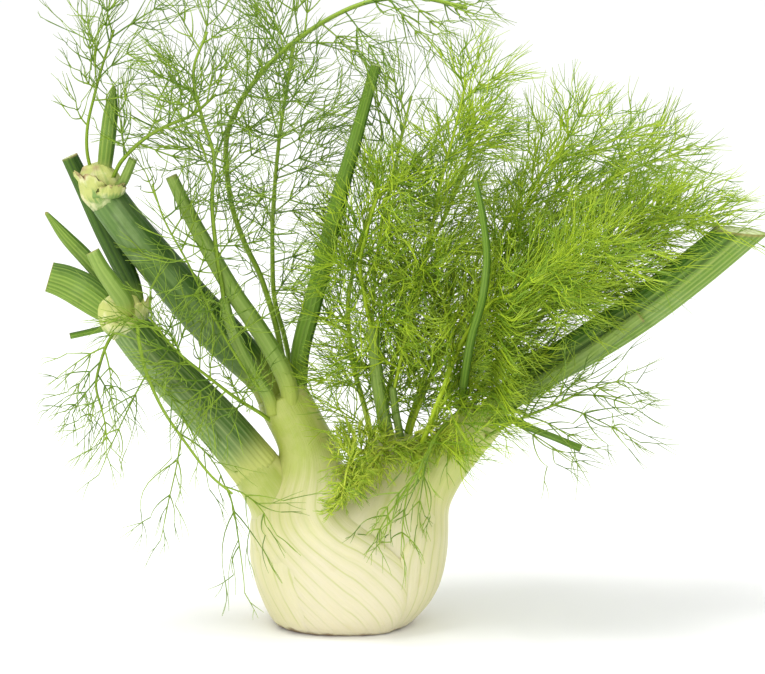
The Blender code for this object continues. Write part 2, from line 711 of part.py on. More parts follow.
class Space:
    """What is already there: the bulb and stalks as a surface, and every thread as thin capsules."""

    def __init__(self, solids):
        points, faces = [], []
        for solid in solids:
            first = len(points)
            points += [vertex.co / MM for vertex in solid.data.vertices]
            faces += [[first + i for i in polygon.vertices] for polygon in solid.data.polygons]
        self.surface = BVHTree.FromPolygons(points, faces)
        self.starts, self.ends, self.radii, self.owners = [], [], [], []

    def add(self, owner, line, radius):
        for a, b in zip(line, line[1:]):
            self.starts.append(tuple(a))
            self.ends.append(tuple(b))
            self.radii.append(radius)
            self.owners.append(owner)

    def clear(self, owner, line, radius, bare):
        """Whether a line keeps off all surfaces and threads. Near its root, its own frond may be close."""
        samples = [line[0]]
        for a, b in zip(line, line[1:]):
            steps = math.ceil((b - a).length / SAMPLE_LENGTH)
            samples += [a.lerp(b, (i + 1) / steps) for i in range(steps)]
        for sample in samples[1:]:
            place, normal, _, distance = self.surface.find_nearest(sample)
            if distance < radius + 2 * GAP or (sample - place).dot(normal) < 0:
                return False
        starts, ends = np.array(self.starts), np.array(self.ends)
        spans = ends - starts
        lengths = np.maximum((spans**2).sum(1), 1e-9)
        reach = np.array(self.radii) + radius + GAP
        own = np.array([name == owner for name in self.owners])
        for sample in samples:
            point = np.array(sample)
            along = np.clip(((point - starts) * spans).sum(1) / lengths, 0, 1)
            distances = np.sqrt(((starts + spans * along[:, None] - point) ** 2).sum(1))
            hit = distances < reach
            if (sample - line[0]).length < bare:
                hit &= ~own
            if hit.any():
                return False
        return True


def draw(*key):
    """Random numbers that depend only on the key."""
    return random.Random(" ".join(str(part) for part in key))


def sprig_line(name, spec, stem, whorl, branch, attempt):
    """The middle line of a sprig in a whorl, and the stem's radius there."""
    rows = len(stem) - 1
    growth = whorl / (spec["whorls"] - 1)
    share = spec["first"] + (LAST_WHORL - spec["first"]) * growth
    row = min(int(share * rows), rows - 1)
    way = (stem[row + 1] - stem[row]).normalized()
    root = stem[row].lerp(stem[row + 1], share * rows - row)
    root += way * STAGGER * (branch - (spec["per_whorl"] - 1) / 2)
    stem_radius = spec["radii"][0] + (spec["radii"][1] - spec["radii"][0]) * share
    rng = draw(name, whorl, branch, attempt)
    angle = draw(name, whorl).uniform(0, FULL_TURN) + FULL_TURN * branch / spec["per_whorl"]
    spread = spec["spread"] * (1 - SPREAD_LOSS * growth) * rng.uniform(*LENGTHS)
    heading = turned(way, angle + rng.uniform(-ROLL, ROLL), spread)
    length = spec["reach"][0] + (spec["reach"][1] - spec["reach"][0]) * growth
    length *= rng.uniform(*LENGTHS) * (1 - SHORTER_SPRIG * attempt)
    start = root - heading * stem_radius * ROOT_DEPTH
    return curved(start, heading, Vector(spec["lean"]), length, 3), stem_radius


def sprig_rings(line, radius):
    """The three-cornered rings of a sprig: one at its root, and two at each of its forks."""
    whole = (line[-1] - line[0]).length
    shares = [0.0]
    for fork in FORKS:
        shares += [fork - FORK_LENGTH / 2 / whole, fork + FORK_LENGTH / 2 / whole]
    table = [(i / (len(line) - 1), p) for i, p in enumerate(line)]
    middles = [between(table, share) for share in shares]
    ways = directions(middles + [line[-1]])
    across = ways[0].orthogonal().normalized()
    rings = []
    for middle, way, share in zip(middles, ways, shares):
        across = (across - way * across.dot(way)).normalized()
        other = way.cross(across)
        reach = radius * (1 - SPRIG_TAPER * share)
        angles = [FULL_TURN * side / 3 for side in range(3)]
        rings.append([middle + (across * math.cos(a) + other * math.sin(a)) * reach for a in angles])
    return rings, middles, ways


def thread_tip(key, root, out, way, lean, room):
    """Where a thread ends that leaves a sprig's face, or None where it would lie too flat on the face."""
    rng = draw(*key)
    spread = math.radians(THREAD_SPREAD * rng.uniform(*THREAD_SPREADS))
    twist = way.cross(out) * rng.uniform(-THREAD_TWIST, THREAD_TWIST)
    heading = (way * math.cos(spread) + out * math.sin(spread) + twist + lean * THREAD_LEAN).normalized()
    length = room * rng.uniform(*THREAD_LENGTHS) * (1 - SHORTER_THREAD * key[-1])
    return root + heading * length if heading.dot(out) > LEAST_RISE else None


def sprig(key, line, radius, lean, space):
    """A side branch: a three-sided stem along the line. At each fork its three faces are drawn out into
    threads, where the air is clear."""
    name = key[0]
    rings, middles, ways = sprig_rings(line, radius)
    points, faces = ring_solid(rings, tip=line[-1])
    whole = (line[-1] - line[0]).length
    for fork, share in enumerate(FORKS):
        row = 1 + 2 * fork
        for side in range(3):
            after = (side + 1) % 3
            corners = (row * 3 + side, row * 3 + after, row * 3 + 3 + after, row * 3 + 3 + side)
            root = sum((points[i] for i in corners), Vector()) / 4
            out = (root - (middles[row] + middles[row + 1]) / 2).normalized()
            for attempt in range(TRIES):
                tip = thread_tip((*key, fork, side, attempt), root, out, ways[row], lean, whole * (1 - share))
                if tip and space.clear(name, [root, tip], THREAD_RADIUS, BARE_THREAD):
                    space.add(name, [root, tip], THREAD_RADIUS)
                    faces.remove(corners)
                    points.append(tip)
                    ends = corners[1:] + corners[:1]
                    faces += [(first, second, len(points) - 1) for first, second in zip(corners, ends)]
                    break
    return add_object("sprig", points, faces, "frond_green")


def frond(name, spec, space):
    """A frond: its stem and the whorls of sprigs along it, joined into one solid."""
    stem = smooth_line(spec["line"], spec["rings"])
    base = add_object(name, *thread_solid(stem, *spec["radii"], STEM_SIDES), "frond_green")
    sprigs = []
    for whorl in range(spec["whorls"]):
        for branch in range(spec["per_whorl"]):
            for attempt in range(TRIES):
                line, stem_radius = sprig_line(name, spec, stem, whorl, branch, attempt)
                if space.clear(name, line, SPRIG_RADIUS, BARE_SPRIG):
                    space.add(name, line, SPRIG_RADIUS)
                    radius = min(SPRIG_RADIUS, SPRIG_SHARE * stem_radius)
                    key = (name, whorl, branch)
                    sprigs.append(sprig(key, line, radius, Vector(spec["lean"]), space))
                    break
    combine(base, sprigs, "UNION", "MANIFOLD")
    return base


def stem_cutter(spec):
    """The start of a frond's stem, widened by the gap, which cuts its socket in the carrier."""
    line = smooth_line(spec["line"], spec["rings"])[:3]
    ways = directions(line)
    line[0] = line[0] - ways[0] * GAP
    across = ways[0].orthogonal().normalized()
    rings = []
    for middle, way in zip(line, ways):
        across = (across - way * across.dot(way)).normalized()
        other = way.cross(across)
        reach = spec["radii"][0] + 1.5 * GAP
        angles = [FULL_TURN * side / STEM_SIDES for side in range(STEM_SIDES)]
        rings.append([middle + (across * math.cos(a) + other * math.sin(a)) * reach for a in angles])
    return add_object("socket", *ring_solid(rings), "bulb_cream")


def end_cutter(spec):
    """A disc that trims what carries a stalk or a joint to the flat face that the two meet at."""
    line = smooth_line(spec["line"], spec["rings"])
    way = directions(line)[0]
    depth = (Vector((0, 1, 0)) - way * way.y).normalized()
    across = depth.cross(way).normalized()
    rings = []
    for reach in (-GAP, TRIM_LENGTH):
        middle = line[0] + way * reach
        angles = [FULL_TURN * side / TRIM_SIDES for side in range(TRIM_SIDES)]
        radius = spec["radii"][0] * TRIM_WIDTH
        rings.append([middle + (across * math.cos(a) + depth * math.sin(a)) * radius for a in angles])
    return add_object("socket", *ring_solid(rings), "bulb_cream")


def build():
    for item in list(bpy.data.objects):
        bpy.data.objects.remove(item)
    bulb = add_object("bulb", *ring_solid(heart_rings()), "bulb_cream")
    leaves = [add_object(name, *ring_solid(sheath_rings(spec)), "bulb_cream") for name, spec in SHEATHS.items()]
    combine(bulb, leaves, "UNION")
    solids = {"bulb": bulb}
    for group in (STALKS, JOINTS, STUBS):
        for name, spec in group.items():
            solids[name] = add_object(name, *ring_solid(stalk_rings(spec)), spec["colour"])
    sockets = {}
    for name, spec in {**STALKS, **JOINTS, **STUBS}.items():
        if spec.get("square_ends"):
            cutter = end_cutter(spec)
        else:
            cutter = add_object("socket", *ring_solid(stalk_rings(spec, GAP)), "bulb_cream")
        sockets.setdefault(spec.get("carrier", "bulb"), []).append(cutter)
    for spec in FRONDS.values():
        sockets.setdefault(spec["carrier"], []).append(stem_cutter(spec))
    for carrier, cutters in sockets.items():
        combine(solids[carrier], cutters, "DIFFERENCE")
    space = Space(list(solids.values()))
    for name, spec in FRONDS.items():
        space.add(name, smooth_line(spec["line"], spec["rings"]), spec["radii"][0])
    for name, spec in FRONDS.items():
        solids[name] = frond(name, spec, space)
    for name, solid in solids.items():
        if name not in FRONDS:
            solid.data.shade_smooth()
            solid.data.set_sharp_from_angle(angle=math.radians(RIB_SHARPNESS if name == "bulb" else STALK_SHARPNESS))


build()
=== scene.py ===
"""A fennel bulb with its finish: ribbed leaf bases, streaked stalks with cut ends, and feathery fronds.

Run it with: blender --background --python scene.py, or from Blender's text editor. Lengths in the tables
are millimetres, and MM turns them into Blender's metres. +X is to the right, +Y is away from the viewer and
+Z is up. The origin is the middle of the trimmed base.
"""

import json
import math
import random
from collections import namedtuple

import bpy
from bpy.props import FloatProperty, FloatVectorProperty, IntProperty, PointerProperty
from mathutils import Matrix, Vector, noise
from mathutils.bvhtree import BVHTree
from mathutils.kdtree import KDTree


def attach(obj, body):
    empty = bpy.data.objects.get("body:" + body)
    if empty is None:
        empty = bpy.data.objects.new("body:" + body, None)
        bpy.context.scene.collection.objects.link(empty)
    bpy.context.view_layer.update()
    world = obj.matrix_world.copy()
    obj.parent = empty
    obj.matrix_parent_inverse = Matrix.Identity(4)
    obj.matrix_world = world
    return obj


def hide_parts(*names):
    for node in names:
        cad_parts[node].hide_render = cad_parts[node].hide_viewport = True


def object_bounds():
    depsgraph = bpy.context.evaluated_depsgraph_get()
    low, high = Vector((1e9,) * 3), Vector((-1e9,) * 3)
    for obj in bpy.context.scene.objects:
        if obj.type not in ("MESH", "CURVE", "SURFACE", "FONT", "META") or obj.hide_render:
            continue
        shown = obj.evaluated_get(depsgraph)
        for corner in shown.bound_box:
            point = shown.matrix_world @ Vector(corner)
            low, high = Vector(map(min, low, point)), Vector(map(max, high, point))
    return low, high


bl_info = {
    "name": "Fennel bulb",
    "version": (1, 0, 0),
    "blender": (4, 5, 0),
    "location": "View3D > Sidebar > Fennel",
    "description": "Builds the leaf bases, stalks and fronds of a fennel bulb over its packed model",
    "category": "Add Mesh",
}

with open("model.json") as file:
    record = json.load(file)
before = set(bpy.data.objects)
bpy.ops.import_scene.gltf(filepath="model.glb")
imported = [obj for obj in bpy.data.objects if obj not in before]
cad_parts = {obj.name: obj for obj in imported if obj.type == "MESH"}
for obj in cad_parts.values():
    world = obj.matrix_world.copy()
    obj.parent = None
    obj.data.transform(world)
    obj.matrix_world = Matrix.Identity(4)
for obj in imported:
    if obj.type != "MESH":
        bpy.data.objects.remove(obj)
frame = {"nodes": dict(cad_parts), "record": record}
CAD_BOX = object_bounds()

MM = 0.001
FULL_TURN = 2 * math.pi
PICTURE = (765, 674)  # width and height of the picture, in pixels
PIXEL = 0.515  # millimetres of the object across one pixel of the picture
PICTURE_BASE = (345, 621)  # the pixel where the middle of the base stands

# The bulb's body: height, half width, half depth, and how far its middle stands to the right.
BODY = (
    (0, 33.5, 28.5, 0.0),
    (5, 38.0, 32.0, 0.9),
    (12, 42.5, 35.5, 2.0),
    (22, 47.0, 38.5, 2.7),
    (34, 49.8, 40.3, 2.9),
    (46, 50.6, 41.0, 3.1),
    (60, 50.2, 40.0, 3.6),
    (74, 48.0, 37.5, 4.6),
    (88, 44.0, 33.0, 6.0),
    (104, 38.0, 28.0, 8.0),
    (124, 32.0, 24.0, 10.0),
)
BODY_SQUARENESS = 2.25

# Leaf bases: the neck's middle, half width and half depth at its heights, and the free edges in degrees.
# slide moves the rib lines round the bulb at a height, in ribs, colour is the neck's, and side_shade is how
# much painted shade greens the bulb's sides.
SHEATHS = {
    "leaf_base_right": {
        "heights": (1.0, 108),
        "neck": (
            (40, (24, 0, 44), 24, 22),
            (66, (41, 0, 68), 18.5, 17),
            (86, (55, -1, 90), 13.8, 13.5),
            (108, (71, -1, 108), 11.8, 11.2),
        ),
        "front": ((0, -66), (40, -62), (60, -50), (90, -44)),
        "back": ((0, 62), (110, 62)),
        "blend": (44, 92),
        "proud": -0.4,
        "ribs": 13,
        "slide": ((0, 0.0), (45, -0.8), (108, -0.8)),
        "mirror": False,
        "colour": (186, 197, 102),
        "side_shade": 0.5,
    },
    "leaf_base_left": {
        "heights": (0.6, 119),
        "neck": (
            (40, (-14, 0, 44), 24, 22),
            (66, (-15, 0, 68), 19, 18),
            (92, (-20, -1, 94), 14.2, 14.2),
            (119, (-32, 0, 119), 13.4, 13.6),
        ),
        "front": ((0, -44), (18, -50), (40, -60), (59, -84), (70, -94), (100, -94)),
        "back": ((0, 128), (50, 110), (100, 90)),
        "blend": (50, 100),
        "proud": 1.2,
        "ribs": 17,
        "slide": ((0, 0.0), (22, 1.7), (45, 3.1), (70, 3.5), (119, 3.5)),
        "mirror": True,
        "colour": (172, 186, 74),
        "side_shade": 0.6,
    },
    "leaf_base_outer_left": {
        "heights": (1.4, 80),
        "neck": (
            (30, (-20, -1, 36), 22, 20),
            (60, (-34, -3, 64), 16, 15),
            (80, (-46.6, -4.8, 84.2), 12.6, 11.4),
        ),
        "front": ((0, 246), (50, 240), (90, 236)),
        "back": ((0, 138), (90, 142)),
        "blend": (34, 76),
        "proud": 1.9,
        "ribs": 8,
        "slide": ((0, 0.0), (30, 0.9), (80, 1.3)),
        "mirror": True,
        "colour": (170, 182, 80),
        "side_shade": 0.55,
    },
}
OUTER_SHARE = 0.80  # share of a neck's outline that the ribbed outer face takes
EDGE_ROUNDING = 0.07
EDGE_DIVE = 1.5
INNER_INSET = 6
NECK_RIB_SHARE = 0.6
COLUMNS_PER_RIB = 12
INNER_COLUMNS = 10
ROW_HEIGHT = 1.3
RIB_START = 5  # rib count at the first edge
NECK_DOME = 2.2
NECK_DOME_ROWS = 6

HEART_INSET = 2.4
HEART_TOP = (25, -2, 96)
HEART_TOP_RADIUS = 13.5
HEART_BLEND = (56, 93)
HEART_RIBS = 12
HEART_DOME = 3
HEART_DOME_ROWS = 7

# Stalks: the middle line, the half thickness along it, and depth as a share of that. ribs and relief are
# its fine ridges, keels the broad ones, as angle, height and width, and finish names its colours. A
# joined stalk ends in another piece, with a dome in place of a cut, and cut_slope slants the cut.
STALK_FIELDS = "line radii depth ribs relief keels finish joined pointed cut_slope"
Stalk = namedtuple("Stalk", STALK_FIELDS, defaults=(False, False, 0.0))
STALK_TAGS = ("fibre", "place", "ridge")
STALK_ROW = 1.6  # length of a row of faces
LEAST_ROWS = 14
LEAST_SIDES = 36
FIBRE_SCALE = 3.9  # units of the marks' pattern for each metre along; across, a unit is the radius
CUT_RINGS = (0.97, 0.93, 0.84, 0.7, 0.5, 0.3, 0.12)  # rings of a cut end, as shares of its radius
STALKS = {
    "stalk_left_low": Stalk(
        ((-44.8, -4.5, 81.8), (-62, -8, 104), (-80, -11, 124), (-97, -13, 143), (-107, -14, 156)),
        (12.6, 11.8, 11.4, 10.6, 9.9), 0.905, 30, 0.016, ((205, 0.05, 26), (318, 0.04, 22)), "bloomed",
        joined=True,
    ),
    "stalk_left_tall": Stalk(
        ((-36, 3, 114), (-41, 4, 126), (-57, 4, 144), (-76, 3, 165), (-93, 1, 186), (-108, -1, 205),
         (-118, -2, 219)),
        (7.4, 9.4, 11.0, 11.0, 10.5, 10.0, 9.6), 0.86, 24, 0.01, ((292, 0.08, 20),), "ridged", joined=True,
    ),
    "stalk_left_slim": Stalk(
        ((-27.5, -8, 112), (-28.5, -10.5, 126), (-34, -12, 140), (-43, -13, 156), (-55, -13, 174),
         (-66, -12, 193), (-77, -10, 213), (-87, -8, 234)),
        (4.4, 4.8, 4.7, 4.5, 4.3, 4.0, 3.6, 3.0), 0.95, 14, 0.012, ((300, 0.05, 24),), "petiole",
    ),
    "stalk_left_petiole": Stalk(
        ((-36.5, -10.5, 112), (-38.5, -13, 121), (-46, -15, 134), (-54, -16, 150), (-58.5, -16, 163),
         (-60.5, -15, 171)),
        (3.2, 3.4, 3.3, 3.1, 2.9, 2.7), 0.95, 12, 0.016, (), "petiole", joined=True,
    ),
    "stalk_centre": Stalk(
        ((-23.5, 1, 112), (-23.5, 2, 125), (-22.5, 4, 141), (-17, 6, 163), (-10, 7, 189), (-3, 8, 219),
         (4, 8, 244), (10, 8, 266), (16, 8, 288)),
        (4.0, 4.6, 4.8, 4.7, 4.3, 3.9, 3.5, 3.0, 2.6), 0.95, 14, 0.035, (), "ribbed",
    ),
    "stalk_right": Stalk(
        ((71, 3, 102), (77, 2.5, 112), (87, 2, 121), (101, 1.5, 131.5), (126, 1, 147), (152, 0, 165),
         (178, -1, 185.5), (200.5, -2, 205)),
        (6.0, 7.6, 9.0, 9.8, 10.2, 10.2, 10.0, 9.8), 0.84, 26, 0.022, ((335, 0.05, 18), (215, 0.05, 20)),
        "striped", cut_slope=0.9,
    ),
    "stalk_right_petiole": Stalk(
        ((64, -7, 103), (70, -9.5, 112), (80, -12, 118.5), (92, -13, 124), (116, -13, 138), (137, -12, 153),
         (150, -11, 162.5)),
        (3.5, 4.1, 4.2, 4.1, 3.9, 3.6, 3.2), 0.9, 12, 0.02, ((230, 0.06, 22),), "petiole",
    ),
    "stalk_right_twig": Stalk(
        ((74, -5, 103), (80, -9, 108), (86, -12, 109), (95, -14, 105), (108, -15, 100), (120, -16, 95)),
        (1.7, 1.9, 1.9, 1.8, 1.8, 2.0), 0.9, 8, 0.03, (), "ribbed",
    ),
    "stalk_right_slim": Stalk(
        ((59, -2, 105), (60, -6, 115), (60.5, -12, 128), (64, -20, 153), (69.5, -26, 175), (71.5, -29, 196),
         (69.5, -31, 216), (65.5, -33, 237)),
        (2.1, 2.2, 2.2, 2.1, 2.0, 1.9, 1.7, 1.2), 0.95, 9, 0.03, (), "ribbed",
    ),
    "stem_heart": Stalk(
        ((21, -8, 90), (22, -8, 97), (19.5, -9, 112), (17, -10, 127), (15.5, -10, 141), (14.5, -9, 155)),
        (3.6, 3.5, 3.3, 3.2, 3.0, 2.7), 0.95, 12, 0.02, (), "petiole", joined=True,
    ),
    "stem_heart_slim": Stalk(
        ((29, -6, 90), (28.5, -7, 98), (26, -8, 112), (24.5, -8, 124)),
        (2.2, 2.1, 2.0, 1.9), 0.95, 9, 0.02, (), "petiole", joined=True,
    ),
}

JOINTS = {
    "joint_left_low": Stalk(
        ((-107.6, -14, 156.9), (-110.5, -14, 161), (-112.5, -13, 166), (-112, -10, 172)),
        (9.9, 12.2, 11.8, 8.0), 0.86, 9, 0.03, (), "joint",
    ),
    "joint_left_tall": Stalk(
        ((-118.6, -2, 219.9), (-121.5, -2, 225), (-124, -2, 231), (-125.5, -2, 238)),
        (9.6, 11.0, 10.4, 7.0), 0.86, 9, 0.03, (), "joint",
    ),
}

STUBS = {
    "stub_low_front": Stalk(
        ((-109.5, -20, 166), (-110.5, -23, 173), (-115.5, -25, 181), (-121.5, -25, 190),
         (-126, -24, 198.5)),
        (4.6, 4.7, 4.4, 4.0, 3.5), 0.9, 12, 0.02, ((300, 0.05, 24),), "petiole",
    ),
    "stub_low_broad": Stalk(
        ((-114, -13, 162), (-121, -12, 168), (-131, -10, 175), (-141, -9, 180), (-149, -9, 182.5)),
        (5.0, 8.0, 9.0, 8.6, 7.6), 0.5, 26, 0.035, (), "pleated",
    ),
    "stub_low_leafy": Stalk(
        ((-114, -7, 169), (-121, -4, 179), (-130, -2, 190), (-141, -2, 202), (-150.5, -2, 214)),
        (2.6, 3.6, 4.0, 3.2, 1.0), 0.55, 14, 0.03, (), "pleated", pointed=True,
    ),
    "stub_low_back": Stalk(
        ((-105, -7, 168), (-108.5, 0, 178), (-115, 6, 190), (-124, 11, 207), (-132, 14, 224),
         (-139.5, 15, 240)),
        (4.0, 5.2, 5.4, 5.0, 4.6, 4.2), 0.8, 16, 0.03, ((250, 0.06, 22),), "deep",
    ),
    "stub_low_side": Stalk(
        ((-112.5, -9, 159.5), (-121, -8, 156), (-130, -7, 153.5), (-139, -7, 151.5)),
        (1.7, 1.7, 1.6, 1.6), 0.9, 8, 0.02, (), "ribbed",
    ),
    "stub_tall_upright": Stalk(
        ((-121.5, -3, 232), (-120, -3.5, 243), (-118.5, -4, 255), (-117, -4, 267), (-115.5, -4, 279)),
        (3.2, 3.8, 3.9, 3.4, 0.9), 0.75, 12, 0.035, (), "pleated", pointed=True,
    ),
    "stub_tall_side": Stalk(
        ((-117, -6, 226), (-112, -8.5, 230), (-108.5, -9, 237), (-106, -9, 243)),
        (2.4, 2.5, 2.4, 2.2), 0.9, 9, 0.02, (), "petiole",
    ),
}

# Thin dry sheaths on the joints: root, way up, way it faces, radius, arc in degrees, height and flare.
JOINT_SHEATHS = (
    ((-121, -2, 225), (-0.25, -0.1, 1), (-1, -0.6, 0), 10.0, 150, 15, 2.5),
    ((-120, -5, 226), (0.15, -0.3, 1), (0.5, -1, 0), 8.6, 110, 9, 1.5),
    ((-110, -14, 160), (-0.3, -0.2, 1), (-0.3, -1, 0), 10.6, 120, 7, 1.5),
    ((-109, -12, 162), (0.1, 0.0, 1), (1, -0.5, 0.2), 10.0, 130, 13, 1.0),
)
CLASP_COLUMNS = 22
CLASP_ROWS = 9
CLASP_HALF_WALL = 0.28

# Fronds: the stem's line, radii and rings, then its sprigs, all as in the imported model: where the first
# whorl stands as a share of the stem, the whorls and the sprigs in each, their length at the first and
# the last whorl, their spread in degrees, and their lean. more is how many sprigs are added to those,
# dense how closely the finest threads follow each other, and length how long those are, as shares.
FROND_FIELDS = "line radii rings first whorls per_whorl reach spread lean more dense length"
Frond = namedtuple("Frond", FROND_FIELDS, defaults=(None,))
FRONDS = {
    "frond_left_arch": Frond(
        ((-30, 10, 112), (-31, 12, 128), (-35, 9, 152), (-43, 9, 179), (-51.5, 11, 197), (-58, 12, 218),
         (-60, 12, 248), (-54, 12, 266), (-43, 12, 282), (-28, 11, 297), (-8, 10, 311), (13, 9, 320),
         (38, 8, 322), (62, 7, 317)),
        (1.9, 1.2), 15, 0.42, 5, 2, (46, 26), 62, (0.0, 0, 0.1), 14, 0.5,
    ),
    "frond_left_slim": Frond(
        ((-60.3, -15.2, 168), (-61.5, -18, 180), (-63.5, -21, 194), (-66, -21, 222), (-65, -19, 246),
         (-71, -17, 266), (-75, -15, 288), (-68, -14, 308)),
        (1.4, 0.8), 8, 0.2, 4, 2, (34, 24), 60, (-0.1, 0, 0.1), 10, 0.5,
    ),
    "frond_left_upright": Frond(
        ((-26, 7.5, 110), (-27, 10, 126), (-31, 16, 146), (-36, 18, 165), (-37, 18, 189), (-36.5, 18, 212),
         (-33, 17, 250), (-28, 15, 282), (-25, 14, 300)),
        (1.7, 0.9), 9, 0.3, 4, 2, (36, 44), 64, (0.15, 0, 0.0), 16, 0.5,
    ),
    "frond_tall_side": Frond(
        ((-117, -7, 232), (-112, -10, 242), (-100, -13, 254), (-88, -14, 261), (-76, -13, 266),
         (-64, -10, 276)),
        (1.4, 0.8), 6, 0.2, 3, 2, (28, 24), 58, (0.1, 0, 0.25), 8, 0.5,
    ),
    "frond_tall_left": Frond(
        ((-127, -3, 233), (-129.5, -4, 246), (-129, -5, 259), (-125.5, -6, 274), (-121, -7, 290),
         (-115, -7, 308)),
        (1.1, 0.7), 6, 0.35, 3, 2, (20, 34), 55, (0.35, 0, 0.1), 6, 0.5,
    ),
    "frond_over_stalks": Frond(
        ((-38, -9, 108), (-44, -15, 114), (-54, -22, 122), (-68, -26, 134), (-84, -28, 148),
         (-98, -29, 166)),
        (1.2, 0.7), 6, 0.25, 4, 2, (24, 20), 60, (0, -0.2, 0), 14, 0.45,
    ),
    "frond_low_hanging": Frond(
        ((-104, -18.5, 161), (-103.5, -26.5, 160), (-102.5, -31, 153), (-99, -32, 138), (-91, -31, 119),
         (-79, -32, 101), (-67, -36, 86), (-56, -42, 78)),
        (1.2, 0.8), 12, 0.3, 3, 2, (34, 36), 48, (-0.2, -0.1, -0.75), 0, 0.25,
    ),
    "frond_low_left": Frond(
        ((-114, -19, 159), (-119, -25, 152), (-123, -27, 141), (-125, -28, 130), (-122, -29, 118)),
        (1.1, 0.7), 5, 0.3, 3, 2, (24, 22), 55, (-0.15, -0.1, -0.35), 2, 0.35,
    ),
    "frond_heart_tuft": Frond(
        ((14, -10, 88), (11, -18, 94), (6, -27, 95), (2, -36, 90), (0, -43, 82)),
        (1.6, 0.9), 5, 0.3, 3, 3, (17, 13), 60, (0.2, -0.2, 0.1), 22, 1.5, length=0.36,
    ),
    "frond_front_hanging": Frond(
        ((57, -6, 105), (53, -16, 109), (46, -28, 104), (40, -40, 94), (33, -46, 84), (26, -49, 74)),
        (1.2, 0.8), 7, 0.5, 4, 2, (34, 26), 34, (0.1, 0.0, -0.35), 0, 0.16, length=0.8,
    ),
    "frond_right_hanging": Frond(
        ((70.5, -8, 98), (77, -18, 105), (90, -24, 113), (105, -27, 120), (119, -28, 127)),
        (1.1, 0.7), 5, 0.35, 4, 2, (34, 30), 50, (0.3, -0.1, -0.4), 2, 0.26,
    ),
    "frond_heart_left": Frond(
        ((15, 3, 90), (11, 8, 108), (4, 12, 135), (2, 14, 165), (8, 15, 195), (18, 16, 224)),
        (1.8, 0.9), 7, 0.2, 4, 3, (34, 28), 56, (-0.05, 0, 0.1), 20, 0.9,
    ),
    "frond_heart_front": Frond(
        ((14.6, -9, 152.5), (11, -10, 168), (8, -12, 189), (12, -13, 209), (18, -14, 228)),
        (1.4, 0.8), 6, 0.1, 4, 3, (30, 24), 60, (0.1, -0.15, 0), 16, 0.9,
    ),
    "frond_heart_tall": Frond(
        ((24.6, -8, 121.5), (31, -8, 150), (38.5, -7, 178), (44, -6, 205), (49, -5, 231), (56, -4, 258),
         (61, -4, 280)),
        (1.3, 0.8), 8, 0.2, 5, 3, (32, 24), 56, (0.15, 0, 0.05), 20, 0.9,
    ),
    "frond_mass_middle": Frond(
        ((32, 2, 90), (35, 3, 104), (46, 6, 131), (62, 9, 160), (78, 11, 188), (95, 12, 217),
         (112, 12, 246)),
        (1.8, 0.9), 8, 0.25, 5, 3, (38, 34), 48, (0.35, 0, 0.1), 22, 0.95,
    ),
    "frond_mass_right": Frond(
        ((37, -4, 88), (45, -5, 108), (65, -6, 138), (95, -5, 168), (122, -3, 190), (148, -2, 206),
         (168, -2, 214)),
        (1.8, 0.9), 8, 0.3, 5, 3, (40, 32), 42, (0.4, 0, 0.05), 22, 0.95,
    ),
    "frond_mass_back": Frond(
        ((30, 9, 88), (34, 14, 104), (46, 24, 135), (66, 36, 165), (92, 44, 190), (120, 49, 211),
         (148, 51, 228)),
        (1.8, 0.9), 8, 0.3, 4, 3, (40, 34), 46, (0.3, 0.1, 0.1), 20, 0.85,
    ),
    "frond_mass_front": Frond(
        ((35, -11, 86), (42, -19, 106), (53, -27, 136), (69, -34, 165), (93, -39, 186), (118, -41, 200)),
        (1.8, 0.9), 7, 0.3, 4, 3, (38, 30), 46, (0.3, -0.1, 0.1), 22, 0.95,
    ),
    "frond_mass_low": Frond(
        ((63, 5, 104), (68, 10, 118), (86, 17, 142), (112, 21, 166), (138, 22, 186), (160, 22, 200)),
        (1.5, 0.8), 7, 0.25, 4, 3, (34, 28), 46, (0.3, 0.05, 0.15), 20, 0.9,
    ),
    "frond_heart_back": Frond(
        ((20, 9, 90), (22, 20, 115), (30, 31, 150), (42, 38, 185), (56, 41, 215), (66, 41, 243)),
        (1.7, 0.9), 7, 0.25, 4, 3, (36, 30), 54, (0.1, 0.1, 0.1), 20, 0.9,
    ),
}

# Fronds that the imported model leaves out: the tail of the tuft, threads that lie over the heart and the
# right neck, and fine ones on the left and in the middle.
FINE_FRONDS = {
    "tuft_tail": Frond(
        ((17, -24, 93), (9, -33, 86), (1, -40, 78), (-6, -43.5, 69)),
        (1.0, 0.4), 5, 0.05, 4, 3, (11, 6), 20, (-0.25, -0.05, -0.3), 18, 1.3, length=0.32,
    ),
    "heart_cover": Frond(
        ((20, -14, 97), (26, -19, 99), (33, -21, 96), (40, -20, 91)),
        (0.9, 0.5), 5, 0.05, 4, 3, (9, 8), 58, (0.1, -0.1, 0.1), 20, 1.2, length=0.36,
    ),
    "neck_cover": Frond(
        ((36, -12, 102), (43, -18, 105), (50, -21, 101), (58, -21, 92)),
        (1.1, 0.5), 6, 0.05, 5, 3, (11, 8), 46, (0.1, -0.05, 0.0), 20, 1.1, length=0.42,
    ),
    "fine_left": Frond(
        ((-40, -15, 122), (-52, -22, 140), (-66, -25, 166), (-78, -25, 192), (-90, -22, 214),
         (-96, -20, 232)),
        (0.9, 0.5), 7, 0.15, 5, 3, (28, 24), 62, (0.1, 0, 0.1), 12, 0.4, length=1.1,
    ),
    "fine_middle": Frond(
        ((20, 6, 94), (15, 11, 130), (15, 14, 170), (20, 14, 210), (28, 12, 245), (34, 10, 272)),
        (1.2, 0.7), 8, 0.45, 4, 3, (30, 32), 58, (0.05, 0, 0.1), 14, 0.6, length=1.2,
    ),
}

